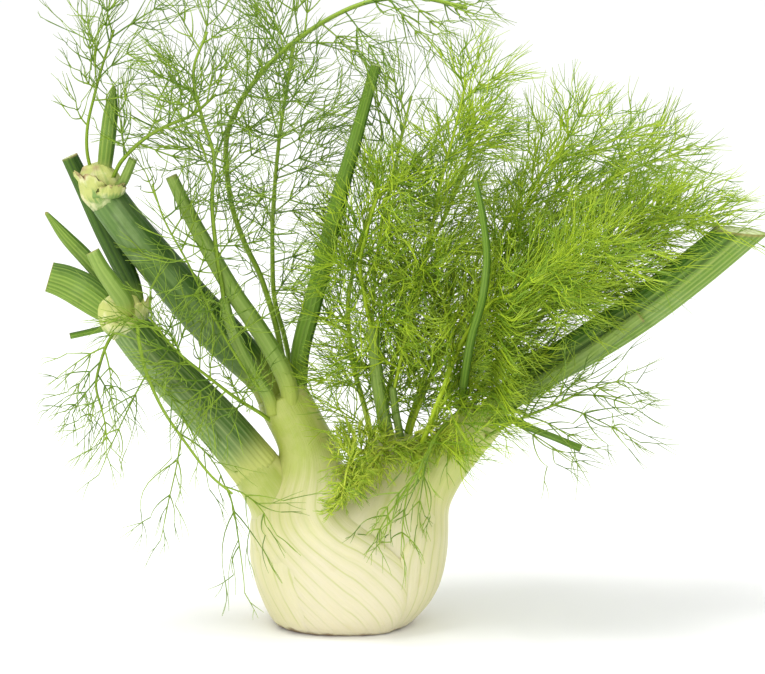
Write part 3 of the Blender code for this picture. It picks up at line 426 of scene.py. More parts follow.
# Where the threads keep behind the slim stalk on the right, so that it shows: the middle and half width of
# the way that they leave free, its heights, and how far back they stay at its foot, with its lean.
PARTING = {"x": 66.5, "half": 8, "fade": 18, "foot": 118, "top": 236, "y": -5.0, "lean": 0.2}

PULL_BACK = -0.65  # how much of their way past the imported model's box threads lose
DENSE = 0.8  # fronds above this dense value are thick with threads
LAST_WHORL = 0.96  # where it stands, as a share of the stem
WIDER = 1.35  # how much wider the added sprigs spread
EARLY = 0.3  # how far below the first whorl a dense frond's added sprigs begin, as a share of the whorls
SPRIG_RADIUS = 0.62
SPRIG_THICKNESS = (SPRIG_RADIUS * 0.9, 0.24)  # radius at the root and the tip, as for the threads below
THREAD_THICKNESS = (0.46, 0.18)
THREAD_SPREAD = 31  # degrees
FORKS = (0.36, 0.68)
FORK_LENGTH = 1.3
LEAST_RISE = 0.42
STAGGER = 2.0  # distance along the stem between two sprigs of a whorl
ROOT_DEPTH = 0.3
TRIES = 4  # other draws for a sprig or a thread that has no room
FOUND = 0.05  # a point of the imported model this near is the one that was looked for
CLEAR = 1.2  # room that an added sprig keeps from the stalks and the bulb
BARE_ROOT = 0.10  # share of a line that bears no fine threads

# Three fine threads of unit length: the end of each, and its forks as place, angle, lift and length.
THREAD_SHAPES = (
    ((0.05, 0.06, 1.0), ((0.30, 0.36, 0.10, 0.62), (0.58, -0.34, -0.12, 0.42))),
    ((-0.10, 0.02, 0.96), ((0.30, -0.38, 0.14, 0.66),)),
    ((0.14, -0.12, 1.06), ((0.42, -0.38, 0.10, 0.58),)),
)

# Lights: place in metres, size in metres, and power as a share of the key light's.
LIGHTS = {"key": ((-0.42, -0.22, 2.1), 0.7, 1.0), "fill": ((-1.0, -2.0, 0.9), 1.6, 0.46)}
LIGHTS_AIM = (0, 0, 0.12)
BACKDROP_STRENGTH = 0.96


def rgb(*values):
    """A colour from red, green and blue as 0 to 255 values, in the linear form that the shaders take."""
    return (*(((c / 255 + 0.055) / 1.055) ** 2.4 if c > 10 else c / 3294.6 for c in values), 1.0)


def between(table, at):
    """The value of a smooth curve through (place, value) pairs. A value is a number or a vector."""
    places = [row[0] for row in table]
    values = [Vector(row[1]) if hasattr(row[1], "__len__") else row[1] for row in table]
    at = min(max(at, places[0]), places[-1])
    step = max(i for i in range(len(places) - 1) if places[i] <= at)
    width = places[step + 1] - places[step]
    share = (at - places[step]) / width

    def slope(i):
        low, high = max(i - 1, 0), min(i + 1, len(places) - 1)
        return (values[high] - values[low]) / (places[high] - places[low]) * width

    square, cube = share * share, share**3
    return (
        values[step] * (2 * cube - 3 * square + 1)
        + values[step + 1] * (3 * square - 2 * cube)
        + slope(step) * (cube - 2 * square + share)
        + slope(step + 1) * (cube - square)
    )


def smooth_line(points, count):
    """count points, evenly spaced along a smooth curve through the given ones."""
    points = [Vector(p) for p in points]
    along = [0.0]
    for a, b in zip(points, points[1:]):
        along.append(along[-1] + (b - a).length)
    table = list(zip(along, points))
    return [between(table, along[-1] * i / (count - 1)) for i in range(count)]


def smooth_values(values, count):
    table = [(i / (len(values) - 1), v) for i, v in enumerate(values)]
    return [between(table, i / (count - 1)) for i in range(count)]


def directions(line):
    """The way that the line runs at each of its points."""
    last = len(line) - 1
    return [(line[min(i + 1, last)] - line[max(i - 1, 0)]).normalized() for i in range(last + 1)]


def smooth_step(low, high, at):
    share = min(max((at - low) / (high - low), 0), 1)
    return share * share * (3 - 2 * share)


def bell(angle, middle, width):
    """How near an angle is to the middle one, in degrees: 1 there, and 0 far from it."""
    apart = (angle - middle + 180) % 360 - 180
    return math.exp(-((apart / width) ** 2))


def paired(table, column):
    """A table's first column with another one, for between."""
    return [(row[0], row[column]) for row in table]


def darker(colour, share):
    return [value * share for value in colour]


def linear(colour):
    """A colour as the shaders take it. A tuple or list of three holds 0 to 255 values."""
    return rgb(*colour) if isinstance(colour, (tuple, list)) and len(colour) == 3 else colour


def cross_section(way):
    """The directions across a way and back from it, for a line that runs along it."""
    depth = (Vector((0, 1, 0)) - way * way.y).normalized()
    return depth.cross(way).normalized(), depth


def search_tree(points):
    tree = KDTree(len(points))
    for i, point in enumerate(points):
        tree.insert(point, i)
    tree.balance()
    return tree


class Output:
    """A node's output that takes part in Python's sums. Each operation adds a Math node."""

    def __init__(self, graph, socket):
        self.graph, self.socket = graph, socket

    def maths(self, operation, *others):
        return self.graph.out("ShaderNodeMath", {"operation": operation}, dict(enumerate((self, *others))))

    def __add__(self, other):
        return self.maths("ADD", other)

    def __mul__(self, other):
        return self.maths("MULTIPLY", other)

    def __sub__(self, other):
        return self.maths("SUBTRACT", other)

    def __rsub__(self, other):
        return self.maths("MULTIPLY", -1.0) + other

    def __pow__(self, other):
        return self.maths("POWER", other)

    def __abs__(self):
        return self.maths("ABSOLUTE")

    __radd__ = __add__
    __rmul__ = __mul__


class Graph:
    """A node tree that calls add nodes to."""

    def __init__(self, tree):
        self.tree = tree
        self.tree.nodes.clear()

    def node(self, kind, settings=None, inputs=None):
        """A new node. Settings come first, then the values or links of its sockets, by name or number."""
        made = self.tree.nodes.new(kind)
        for name, value in (settings or {}).items():
            setattr(made, name, value)
        for name, value in (inputs or {}).items():
            if isinstance(value, Output):
                self.tree.links.new(value.socket, made.inputs[name])
            else:
                made.inputs[name].default_value = value
        return made

    def out(self, kind, settings=None, inputs=None, output=0):
        return Output(self, self.node(kind, settings, inputs).outputs[output])

    def step(self, value, low, high):
        """0 below low and 1 above high, or the other way round where low is the higher."""
        settings = {"interpolation_type": "SMOOTHSTEP"}
        return self.out("ShaderNodeMapRange", settings, {"Value": value, "From Min": low, "From Max": high})

    def parts(self, vector):
        """The three numbers of a vector."""
        split = self.node("ShaderNodeSeparateXYZ", inputs={0: vector})
        return [Output(self, socket) for socket in split.outputs]

    def joined(self, x, y, z):
        return self.out("ShaderNodeCombineXYZ", inputs={0: x, 1: y, 2: z})

    def geometry(self, kind, settings=None, **inputs):
        """A geometry node. Its sockets' names have an underscore for each space."""
        named = {name.replace("_", " "): value for name, value in inputs.items()}
        return self.out("GeometryNode" + kind, settings, named)

    def named(self, name):
        """A value that the geometry's points carry."""
        return self.geometry("InputNamedAttribute", {"data_type": "FLOAT"}, Name=name)

    def store(self, geometry, name, value, domain="POINT"):
        settings = {"data_type": "FLOAT", "domain": domain}
        return self.geometry("StoreNamedAttribute", settings, Geometry=geometry, Name=name, Value=value)

    def join(self, pieces):
        """The geometry of several pieces as one."""
        joined = self.node("GeometryNodeJoinGeometry")
        for piece in pieces:
            self.tree.links.new(piece.socket, joined.inputs[0])
        return Output(self, joined.outputs[0])


class Finish(Graph):
    """A procedural material on a Principled shader. colour is what has been painted so far."""

    def __init__(self, name):
        self.material = bpy.data.materials.new(name)
        self.material.use_nodes = True
        self.colour = None
        super().__init__(self.material.node_tree)

    def attribute(self, name, output="Fac"):
        return self.out("ShaderNodeAttribute", {"attribute_name": name}, output=output)

    def place(self):
        return self.out("ShaderNodeTexCoord", output="Object")

    def grain(self, vector, scale, detail=3.0, rough=0.5):
        """Noise from 0 to 1."""
        inputs = {"Vector": vector, "Scale": scale, "Detail": detail, "Roughness": rough}
        return self.out("ShaderNodeTexNoise", inputs=inputs)

    def spots(self, scale, detail=3.0, rough=0.5):
        """Noise from 0 to 1 that is alike in every direction."""
        return self.grain(self.place(), scale, detail, rough)

    def mix(self, share, first, second):
        """The first colour, turned into the second by the share."""
        settings = {"data_type": "RGBA", "clamp_factor": True}
        return self.out("ShaderNodeMix", settings, {0: share, 6: linear(first), 7: linear(second)}, output=2)

    def paint(self, share, colour):
        """Turns the colour so far into another one by the share."""
        self.colour = self.mix(share, self.colour, colour)

    def finish(self, roughness, height=None, depth=0.0, **constants):
        """Ends the material. height goes to a bump of the given depth, in metres."""
        inputs = {"Base Color": self.colour, "Roughness": roughness}
        if height:
            bump = {"Strength": 1.0, "Distance": depth, "Height": height}
            inputs["Normal"] = self.out("ShaderNodeBump", inputs=bump)
        inputs.update({name.replace("_", " "): value for name, value in constants.items()})
        shader = self.out("ShaderNodeBsdfPrincipled", inputs=inputs)
        self.node("ShaderNodeOutputMaterial", inputs={"Surface": shader})
        return self.material


def leaf_base_finish(name, settings, neck_colour, side_shade):
    """Cream to pale green leaf base with thin green lines between its ribs. fibre holds the rib count round
    the bulb and the height, neck how far up the neck a point is, and edge how near the free edge."""
    it = Finish(name)
    rib, _, along = it.parts(it.attribute("fibre", "Vector"))
    x, _, z = it.parts(it.place())
    neck, edge = it.attribute("neck"), it.attribute("edge")
    cloud = it.spots(32.0)
    streak = it.grain(it.joined(rib * 3.1, 0.0, along * 0.35), 1.6, 4.0)
    fine = it.grain(it.joined(rib * 9.0, 3.0, along * 0.6), 2.0, 2.0)
    wave, drift = cloud - 0.5, streak - 0.5
    # Greener towards the top, and towards the sides by side_shade, which is painted shade where the bulb
    # turns away; drift adds streaks.
    green = it.step(z + wave * 0.05, 0.028, 0.10) * 0.75
    green = green + it.step(abs(x - 0.003), 0.016, 0.048) * side_shade + drift * 0.8
    it.colour = it.mix(green, settings.cream, settings.pale_green)
    it.paint(it.step(neck + wave * 0.5 + drift * 0.5, 0.35, 1.05), neck_colour)
    mottle = it.step(it.spots(62.0, 4.0, 0.6), 0.44, 0.68) * it.step(neck, 0.30, 0.80)
    it.paint(mottle * 0.42, (206, 206, 134))
    line = it.step(abs((rib + wave * 0.10).maths("FRACT") - 0.5), 0.10, 0.02)
    between_lines = it.step(abs((rib * 3 + wave * 0.8 + 1.0).maths("FRACT") - 0.5), 0.2, 0.03)
    line = line * (0.2 + 0.8 * it.step(streak, 0.25, 0.6)) + between_lines * it.step(fine, 0.45, 0.65) * 0.4
    line = line * (1 - it.step(neck, 0.45, 0.9)) * it.step(z, 0.001, 0.010)
    it.paint(line * 0.46, settings.rib_line)
    # Painted shade: the rib line's colour spread over each rib's slopes, strongest at the line between two
    # ribs, none on the crown, and fading out towards the base.
    shoulder_shade = it.step(abs(rib.maths("FRACT") - 0.5), 0.40, 0.06) * 0.20 * it.step(z, 0.010, 0.060)
    it.paint(shoulder_shade, settings.rib_line)
    # Painted sheen: fine near-white streaks along the ribs, lighter than the cream.
    it.paint((fine - 0.5) * 0.45, (236, 230, 200))
    it.paint(it.step(edge, 0.35, 1.0) * 0.5, (214, 212, 140))
    bruise = it.step(it.spots(95.0, 4.0), 0.64, 0.78) * (0.18 + 0.2 * neck)
    it.paint(bruise, (196, 180, 118))
    dry = it.step(z + (it.spots(140.0) - 0.5) * 0.006 + x * 0.02, 0.0022, 0.0)
    it.paint(dry * 0.85, (128, 98, 58))
    return it.finish(
        0.36 + fine * 0.14, fine * 0.5 + streak * 0.6 + cloud * 0.8, 0.0005,
        Subsurface_Weight=0.18, Subsurface_Radius=(0.9, 0.8, 0.35), Subsurface_Scale=0.004, Coat_Weight=0.08,
    )


# Colours of the stalks: the lit face and the shaded one with their edge angle, the pale stripes between the
# ribs, the base that it fades to, where that ends as a share of the length, and how strong the stripes, the
# bloom and the long seam are.
STALK_FINISHES = {
    "bloomed": (
        (122, 152, 84), (72, 104, 36), 195, (184, 196, 130), (190, 196, 108),
        (0.02, 0.24), 0.80, 0.40, 0.4,
    ),
    "ridged": (
        (102, 136, 66), (52, 86, 22), 218, (134, 160, 88), (168, 182, 80),
        (0.03, 0.24), 0.50, 0.34, 0.45,
    ),
    "petiole": (
        (138, 166, 74), (98, 130, 42), 230, (164, 184, 100), (172, 186, 84),
        (0.04, 0.26), 0.55, 0.26, 0.2,
    ),
    "ribbed": (
        (112, 150, 44), (66, 106, 18), 230, (146, 174, 70), (118, 148, 42),
        (0.02, 0.22), 0.75, 0.10, 0.35,
    ),
    "striped": (
        (116, 152, 56), (70, 112, 26), 325, (164, 184, 94), (136, 164, 52),
        (0.04, 0.28), 0.95, 0.16, 1.0,
    ),
    "pleated": (
        (116, 150, 52), (66, 102, 22), 230, (164, 184, 84), (186, 194, 110),
        (0.02, 0.24), 1.0, 0.12, 0.2,
    ),
    "deep": (
        (72, 108, 26), (36, 68, 8), 200, (96, 128, 40), (112, 140, 48),
        (0.02, 0.16), 0.65, 0.06, 0.6,
    ),
}


def stalk_finish(name):
    """Green stalk with lengthwise stripes, a pale base and a cut end with its pith and a tan rim. fibre holds
    the way round the stalk and the length along it, and place the share of the length and of the cut face."""
    light, dark, facing, stripe, base, fade, stripes, bloom, seam = STALK_FINISHES[name]
    it = Finish(name + "_stalk")
    fibre, ridge = it.attribute("fibre", "Vector"), it.attribute("ridge")
    across, deep, _ = it.parts(fibre)
    share, radial, cut = it.parts(it.attribute("place", "Vector"))
    streak, fine = it.grain(fibre, 9.0, 4.0, 0.6), it.grain(fibre, 26.0, 3.0, 0.6)
    cloud, drift = it.spots(55.0, 4.0), streak - 0.5
    # Painted light: the side turned towards the facing angle takes the lit colour, and the far side the
    # shaded one.
    towards = across * math.cos(math.radians(facing)) + deep * math.sin(math.radians(facing))
    face = it.step(towards + drift * 0.5, -0.20, 0.70)
    it.colour = it.mix(face, dark, light)
    it.paint(drift * 1.1, dark)
    # Pale stripes on the ridges are the stalk's own, but they are painted brighter on the lit face.
    pale = it.step(ridge, 0.45, 0.95) * stripes * (0.35 + 0.65 * it.step(streak, 0.35, 0.65))
    it.paint(pale * (0.45 + 0.55 * face) * 0.75, stripe)
    furrow = it.step(ridge, 0.35, 0.0) * stripes * it.step(fine, 0.35, 0.65)
    it.paint(furrow * 0.45, darker(dark, 0.75))
    # The stalk's real grey bloom, painted stronger on the lit face as a painted sheen.
    bloom_and_sheen = it.step(cloud + (fine - 0.5) * 0.3, 0.50, 0.72) * bloom * (0.3 + 0.7 * face)
    it.paint(bloom_and_sheen, (168, 186, 136))
    wander = across + drift * 0.16
    it.paint(it.step(abs(wander + 0.14), 0.13, 0.03) * seam * 0.65, darker(dark, 0.72))
    it.paint(it.step(abs(wander - 0.12), 0.15, 0.04) * seam * 0.45, stripe)
    it.paint(it.step(it.spots(120.0), 0.64, 0.74) * 0.22, darker(dark, 0.7))
    it.paint(it.step(share + drift * 0.10, fade[1], fade[0]), base)
    pith = it.mix(it.step(it.spots(420.0), 0.42, 0.66), (214, 222, 176), (176, 192, 120))
    pith = it.mix(it.step(radial + (fine - 0.5) * 0.25, 0.62, 0.92), pith, (150, 172, 86))
    pith = it.mix(it.step(radial + (cloud - 0.5) * 0.35, 0.84, 1.0), pith, (176, 150, 96))
    it.paint(it.step(cut, 0.4, 0.7), pith)
    rim = it.step(share, 0.984, 1.0) * (1 - it.step(cut, 0.1, 0.5)) * it.step(cloud, 0.3, 0.6)
    it.paint(rim * 0.7, (172, 150, 92))
    height = fine * 0.45 + streak * 0.5 + cut * it.spots(600.0) * 1.6
    return it.finish(0.40 + fine * 0.16 + cut * 0.2, height, 0.00045, Specular_IOR_Level=0.3)


def joint_finish():
    """Pale joint with cream patches, green lines that run on from the stalk and dry brown edges."""
    it = Finish("joint_pale")
    share = it.parts(it.attribute("place", "Vector"))[0]
    streak = it.grain(it.attribute("fibre", "Vector"), 7.0, 4.0, 0.6)
    cloud, fine = it.spots(130.0, 4.0), it.spots(700.0)
    it.colour = it.mix(it.step(share + (streak - 0.5) * 0.9, 0.12, 0.45), (126, 158, 76), (198, 204, 116))
    it.paint(it.step(cloud, 0.46, 0.66) * 0.8, (232, 228, 176))
    it.paint(it.step(streak, 0.56, 0.70) * 0.55, (150, 178, 84))
    it.paint(it.step(cloud + (fine - 0.5) * 0.3, 0.62, 0.76) * 0.5, (176, 152, 92))
    it.paint(it.step(share + (cloud - 0.5) * 0.5, 0.90, 1.08) * 0.8, (158, 124, 72))
    return it.finish(0.45 + fine * 0.2, cloud + fine * 0.35 + streak * 0.8, 0.0006)


def frond_finish(name, bright, shaded):
    """Thread green: each thread has its own tint, and gets lighter towards its tip."""
    it = Finish(name)
    fine = it.spots(900.0, 2.0)
    tint = it.attribute("tint") + (it.spots(40.0) - 0.5) * 1.2
    it.colour = it.mix(it.step(tint, 0.15, 0.85), shaded, bright)
    it.paint(it.step(it.attribute("tip"), 0.35, 1.0) * 0.35, (178, 206, 84))
    it.paint((fine - 0.5) * 0.5, shaded)
    return it.finish(0.46 + fine * 0.12, fine, 0.0001, Specular_IOR_Level=0.35)


def solid(name, rings, tags, material, top=None):
    """An object from rings of equal count, closed flat at both ends or by a top point. Each row of a ring
    holds a point, in millimetres, and its value for each tag."""
    count = len(rings[0])
    points, *columns = zip(*(row for ring in rings for row in ring))
    ends = [sum(ring, Vector()) / count for ring in (points[:count], points[-count:])]
    if top is not None:
        ends[1] = top
    start, end = len(points), len(points) + 1
    faces = []
    for side in range(count):
        after = (side + 1) % count
        faces.append((after, side, start))
        for row in range(len(rings) - 1):
            low, high = row * count, (row + 1) * count
            faces.append((low + side, low + after, high + after, high + side))
        high = (len(rings) - 1) * count
        faces.append((high + side, high + after, end))
    mesh = bpy.data.meshes.new(name)
    mesh.from_pydata([point * MM for point in (*points, *ends)], [], faces)
    for tag, values in zip(tags, columns):
        vector = isinstance(values[0], tuple)
        rows = list(values) if vector else [(value,) for value in values]
        rows += [[sum(column) / count for column in zip(*ring)] for ring in (rows[:count], rows[-count:])]
        data = mesh.attributes.new(tag, "FLOAT_VECTOR" if vector else "FLOAT", "POINT").data
        data.foreach_set("vector" if vector else "value", [number for row in rows for number in row])
    mesh.materials.append(material)
    mesh.shade_smooth()
    made = bpy.data.objects.new(name, mesh)
    bpy.context.scene.collection.objects.link(made)
    return made


def body_point(angle, height, inset=0.0):
    """A point on the bulb's body at an angle round it, in radians from +X."""
    half_width, half_depth, middle = (between(paired(BODY, column), height) for column in (1, 2, 3))
    power = 2 / BODY_SQUARENESS
    c, s = math.cos(angle), math.sin(angle)
    x = middle + (half_width - inset) * math.copysign(abs(c) ** power, c)
    return Vector((x, (half_depth - inset) * math.copysign(abs(s) ** power, s), height))


def groove(rib, settings):
    """How deep the face is sunk at a rib count: a broad crown on each rib and a narrow line between two."""
    apart = abs(rib % 1 - 0.5)
    crown = 0.5 - 0.5 * math.cos(FULL_TURN * (rib % 1))
    line = math.exp(-((apart / settings.groove_width) ** 2))
    return settings.rib_depth / MM * (0.55 * crown + 0.45 * line)


def uneven(point, size, depth):
    """A slight unevenness of the surface, as a length."""
    return depth * noise.noise(point / size)


def sheath(name, spec, settings, material):
    """A leaf base that wraps the bulb and narrows to its neck, with a domed top inside the neck."""
    outer_columns = spec["ribs"] * COLUMNS_PER_RIB
    columns = outer_columns + 1 + INNER_COLUMNS
    low, high = spec["heights"]
    rows = round((high - low) / ROW_HEIGHT)
    sign, flip = (1, math.pi) if spec["mirror"] else (-1, 0)
    neck_line = paired(spec["neck"], 1)
    rings = []
    for step in range(rows + 1):
        height = low + (high - low) * step / rows
        front, back = (math.radians(between(spec[edge], height)) for edge in ("front", "back"))
        if spec["mirror"] and front < back:
            front += FULL_TURN
        middle = between(neck_line, height)
        way = (between(neck_line, height + 1) - between(neck_line, height - 1)).normalized()
        if way.length < 0.5:
            way = Vector((0, 0, 1))
        across, depth = cross_section(way)
        half_width, half_depth = (between(paired(spec["neck"], column), height) for column in (2, 3))
        blend, slide = smooth_step(*spec["blend"], height), between(spec["slide"], height)
        ring = []
        for column in range(columns):
            if column <= outer_columns:
                share = column / outer_columns
                turn = (share - 0.5) * OUTER_SHARE * FULL_TURN
                angle = back + (front - back) * share
                thin = min(min(share, 1 - share) / EDGE_ROUNDING, 1)
                proud = spec["proud"] * math.sqrt(thin) - EDGE_DIVE * (1 - thin) ** 3
                sunk = groove(share * spec["ribs"] + slide, settings) * (1 - 0.8 * blend)
                outer = body_point(angle, height, sunk - proud)
                outer += outer.normalized() * uneven(outer, 22, 0.5)
                edge = 1 - thin
            else:
                share = (column - outer_columns) / (INNER_COLUMNS + 1)
                turn = (0.5 * OUTER_SHARE + share * (1 - OUTER_SHARE)) * FULL_TURN
                sunk, edge = 0, 1
                inner = body_point(front, height, INNER_INSET)
                outer = inner.lerp(body_point(back, height, INNER_INSET), share)
            around = turn * sign + flip
            narrow = middle + across * math.cos(around) * (half_width - sunk * NECK_RIB_SHARE)
            narrow += depth * math.sin(around) * (half_depth - sunk * NECK_RIB_SHARE)
            rib = min(column, outer_columns) / COLUMNS_PER_RIB + slide + RIB_START
            ring.append((outer.lerp(narrow, blend), (rib, 0.0, height / 10), blend, edge))
        rings.append(ring if spec["mirror"] else ring[::-1])
    rim = rings[-1]
    way = (between(neck_line, high) - between(neck_line, high - 1)).normalized()
    centre = sum((row[0] for row in rim), Vector()) / columns
    for step in range(1, NECK_DOME_ROWS):
        turn = step / NECK_DOME_ROWS * math.pi / 2
        raised = way * math.sin(turn) * NECK_DOME
        rings.append([(centre.lerp(point, math.cos(turn)) + raised, *tags) for point, *tags in rim])
    return solid(name, rings, ("fibre", "neck", "edge"), material)


def heart(settings, material):
    """The inner leaf bases, which close over the bulb's middle."""
    top = Vector(HEART_TOP)
    rows = round(top.z / ROW_HEIGHT)
    columns = HEART_RIBS * COLUMNS_PER_RIB
    rings = []
    for step in range(rows + HEART_DOME_ROWS):
        height = min(top.z * step / rows, top.z)
        dome = max(step - rows, 0) / HEART_DOME_ROWS * math.pi / 2
        blend = smooth_step(*HEART_BLEND, height)
        ring = []
        for column in range(columns):
            rib = column / COLUMNS_PER_RIB
            angle = FULL_TURN * column / columns
            sunk = groove(rib, settings) * (1 - 0.7 * blend)
            radius = HEART_TOP_RADIUS - sunk
            narrow = Vector((top.x + radius * math.cos(angle), top.y + radius * math.sin(angle), height))
            point = body_point(angle, height, HEART_INSET + sunk).lerp(narrow, blend)
            point = top.lerp(point, math.cos(dome)) + Vector((0, 0, HEART_DOME * math.sin(dome)))
            ring.append((point, (rib, 0.0, height / 10), blend * 0.6, 0.0))
        rings.append(ring)
    return solid("leaf_bases_inner", rings, ("fibre", "neck", "edge"), material)


def stalk(name, spec, material, bumps=0.0, rounded=0.0):
    """A stalk along its line, with fine ribs, keels and a cut end. bumps makes it uneven, and rounded
    domes its end, both in millimetres."""
    length = sum((Vector(b) - Vector(a)).length for a, b in zip(spec.line, spec.line[1:]))
    rows = max(round(length / STALK_ROW), LEAST_ROWS)
    sides = max(spec.ribs * 4, LEAST_SIDES)
    line, radii = smooth_line(spec.line, rows + 1), smooth_values(spec.radii, rows + 1)
    ways = directions(line)
    rings = []
    if spec.joined:
        rounded = radii[-1] * 0.9

    def add_ring(row, inward, raised, cut):
        middle, radius, way = line[row], radii[row] * inward, ways[row]
        across, depth = cross_section(way)
        slope = spec.cut_slope * smooth_step(0.82, 1.0, row / rows)
        place = (min(row / rows, 0.98 if rounded else 1.0), inward, cut)
        ring = []
        for side in range(sides):
            angle = FULL_TURN * side / sides
            c, s = math.cos(angle), math.sin(angle)
            phase = spec.ribs * angle + 0.9 * math.sin(2 * angle) + 0.7 * math.sin(5 * angle + 1)
            ridge = 0.5 + 0.5 * math.cos(phase)
            swell = 1 + spec.relief * (2 * ridge - 1)
            swell += sum(tall * bell(math.degrees(angle), at, wide) for at, tall, wide in spec.keels)
            u, v = c * radius * swell, s * radius * swell * spec.depth
            point = middle + across * u + depth * v + way * (u * slope + raised)
            for size, tall in ((5.0, bumps), (2.2, bumps * 0.4)) if bumps else ():
                point += (point - middle).normalized() * uneven(point, size, tall)
            ring.append((point, (c, s, row / rows * length * MM * FIBRE_SCALE), place, ridge))
        rings.append(ring)

    for row in range(rows + 1):
        add_ring(row, 1.0, 0.0, 0.0)
    if spec.pointed:
        tip = line[-1] + ways[-1] * radii[-1] * 0.8
        return solid(name, rings, STALK_TAGS, material, tip)
    for inward in CUT_RINGS:
        away = 1 - inward
        if rounded:
            add_ring(rows, inward, rounded * math.sqrt(1 - inward * inward), 0.0)
        else:
            add_ring(rows, inward, 0.25 * away - 0.6 * away**0.7, 0.3 if inward == CUT_RINGS[0] else 1.0)
    return solid(name, rings, STALK_TAGS, material)


def clasp(name, root, way, facing, radius, arc, tall, flare, material, seed):
    """A thin dry sheath round a joint: a curved wall that stands on the root, with a ragged top edge."""
    rng = random.Random(seed)
    way, facing = Vector(way).normalized(), Vector(facing)
    facing = (facing - way * facing.dot(way)).normalized()
    side = way.cross(facing)
    columns = range(CLASP_COLUMNS + 1)
    jags = [rng.uniform(0.75, 1.08) for _ in columns]
    path = [(column, 1) for column in columns] + [(column, -1) for column in reversed(columns)]
    rings = []
    for row in range(CLASP_ROWS + 1):
        share = row / CLASP_ROWS
        ring = []
        for column, face in path:
            turn = column / CLASP_COLUMNS - 0.5
            angle = math.radians(arc) * turn
            height = tall * share * jags[column] * (0.35 + 0.65 * math.cos(turn * math.pi) ** 0.5)
            reach = radius + flare * share * share + face * CLASP_HALF_WALL * (1 - 0.6 * share)
            point = Vector(root) + way * height + (facing * math.cos(angle) + side * math.sin(angle)) * reach
            point += Vector((1, 1, 1)) * uneven(point, 4.0, 0.5)
            fibre = (math.cos(angle), math.sin(angle), share * 0.04)
            ring.append((point, fibre, (share, 1.0, 0.0), 0.5))
        rings.append(ring)
    return solid(name, rings, STALK_TAGS, material)


def draw(*key):
    """Random numbers that depend only on the key."""
    return random.Random(" ".join(str(part) for part in key))


def turned(way, angle, spread):
    """A direction at an angle round a way, and spread degrees off it."""
    across = way.orthogonal().normalized()
    other = way.cross(across)
    side = across * math.cos(angle) + other * math.sin(angle)
    tilt = math.radians(spread)
    return (way * math.cos(tilt) + side * math.sin(tilt)).normalized()


def curved(start, way, lean, length, steps):
    """A line that leaves start along way and bends towards lean."""
    points = []
    for step in range(steps + 1):
        share = step / steps
        points.append(start + way * length * share + lean * length * share * share * 0.8)
    return points


def sprig_line(name, spec, stem, whorl, branch, attempt):
    """The middle line of a sprig in a whorl, and the stem's radius there."""
    rows = len(stem) - 1
    growth = whorl / (spec.whorls - 1)
    share = spec.first + (LAST_WHORL - spec.first) * growth
    row = min(int(share * rows), rows - 1)
    way = (stem[row + 1] - stem[row]).normalized()
    root = stem[row].lerp(stem[row + 1], share * rows - row)
    root += way * STAGGER * (branch - (spec.per_whorl - 1) / 2)
    stem_radius = spec.radii[0] + (spec.radii[1] - spec.radii[0]) * share
    rng = draw(name, whorl, branch, attempt)
    angle = draw(name, whorl).uniform(0, FULL_TURN) + FULL_TURN * branch / spec.per_whorl
    spread = spec.spread * (1 - 0.35 * growth) * rng.uniform(0.8, 1.15)
    heading = turned(way, angle + rng.uniform(-0.4, 0.4), spread)
    length = spec.reach[0] + (spec.reach[1] - spec.reach[0]) * growth
    length *= rng.uniform(0.8, 1.15) * (1 - 0.12 * attempt)
    start = root - heading * stem_radius * ROOT_DEPTH
    return curved(start, heading, Vector(spec.lean), length, 3), stem_radius


def sprig_forks(line, radius):
    """Where a sprig's threads leave it: for each fork its place, the way on, and three roots with their
    outward directions."""
    whole = (line[-1] - line[0]).length
    shares = [0.0]
    for fork in FORKS:
        shares += [fork - FORK_LENGTH / 2 / whole, fork + FORK_LENGTH / 2 / whole]
    table = [(i / (len(line) - 1), p) for i, p in enumerate(line)]
    middles = [between(table, share) for share in shares]
    ways = directions(middles + [line[-1]])
    across = ways[0].orthogonal().normalized()
    rings = []
    for middle, way, share in zip(middles, ways, shares):
        across = (across - way * across.dot(way)).normalized()
        other = way.cross(across)
        reach = radius * (1 - 0.45 * share)
        angles = [FULL_TURN * side / 3 for side in range(3)]
        rings.append([middle + (across * math.cos(a) + other * math.sin(a)) * reach for a in angles])
    forks = []
    for fork in range(len(FORKS)):
        row = 1 + 2 * fork
        centre = (middles[row] + middles[row + 1]) / 2
        roots = []
        for side in range(3):
            after = (side + 1) % 3
            root = (rings[row][side] + rings[row][after] + rings[row + 1][after] + rings[row + 1][side]) / 4
            roots.append((root, (root - centre).normalized()))
        forks.append((centre, ways[row], roots))
    return forks


def thread_tip(key, root, out, way, lean, room):
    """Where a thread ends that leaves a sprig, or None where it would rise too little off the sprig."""
    rng = draw(*key)
    spread = math.radians(THREAD_SPREAD * rng.uniform(0.75, 1.3))
    twist = way.cross(out) * rng.uniform(-0.35, 0.35)
    heading = (way * math.cos(spread) + out * math.sin(spread) + twist + lean * 0.5).normalized()
    length = room * rng.uniform(0.75, 1.15) * (1 - 0.1 * key[-1])
    return root + heading * length if heading.dot(out) > LEAST_RISE else None


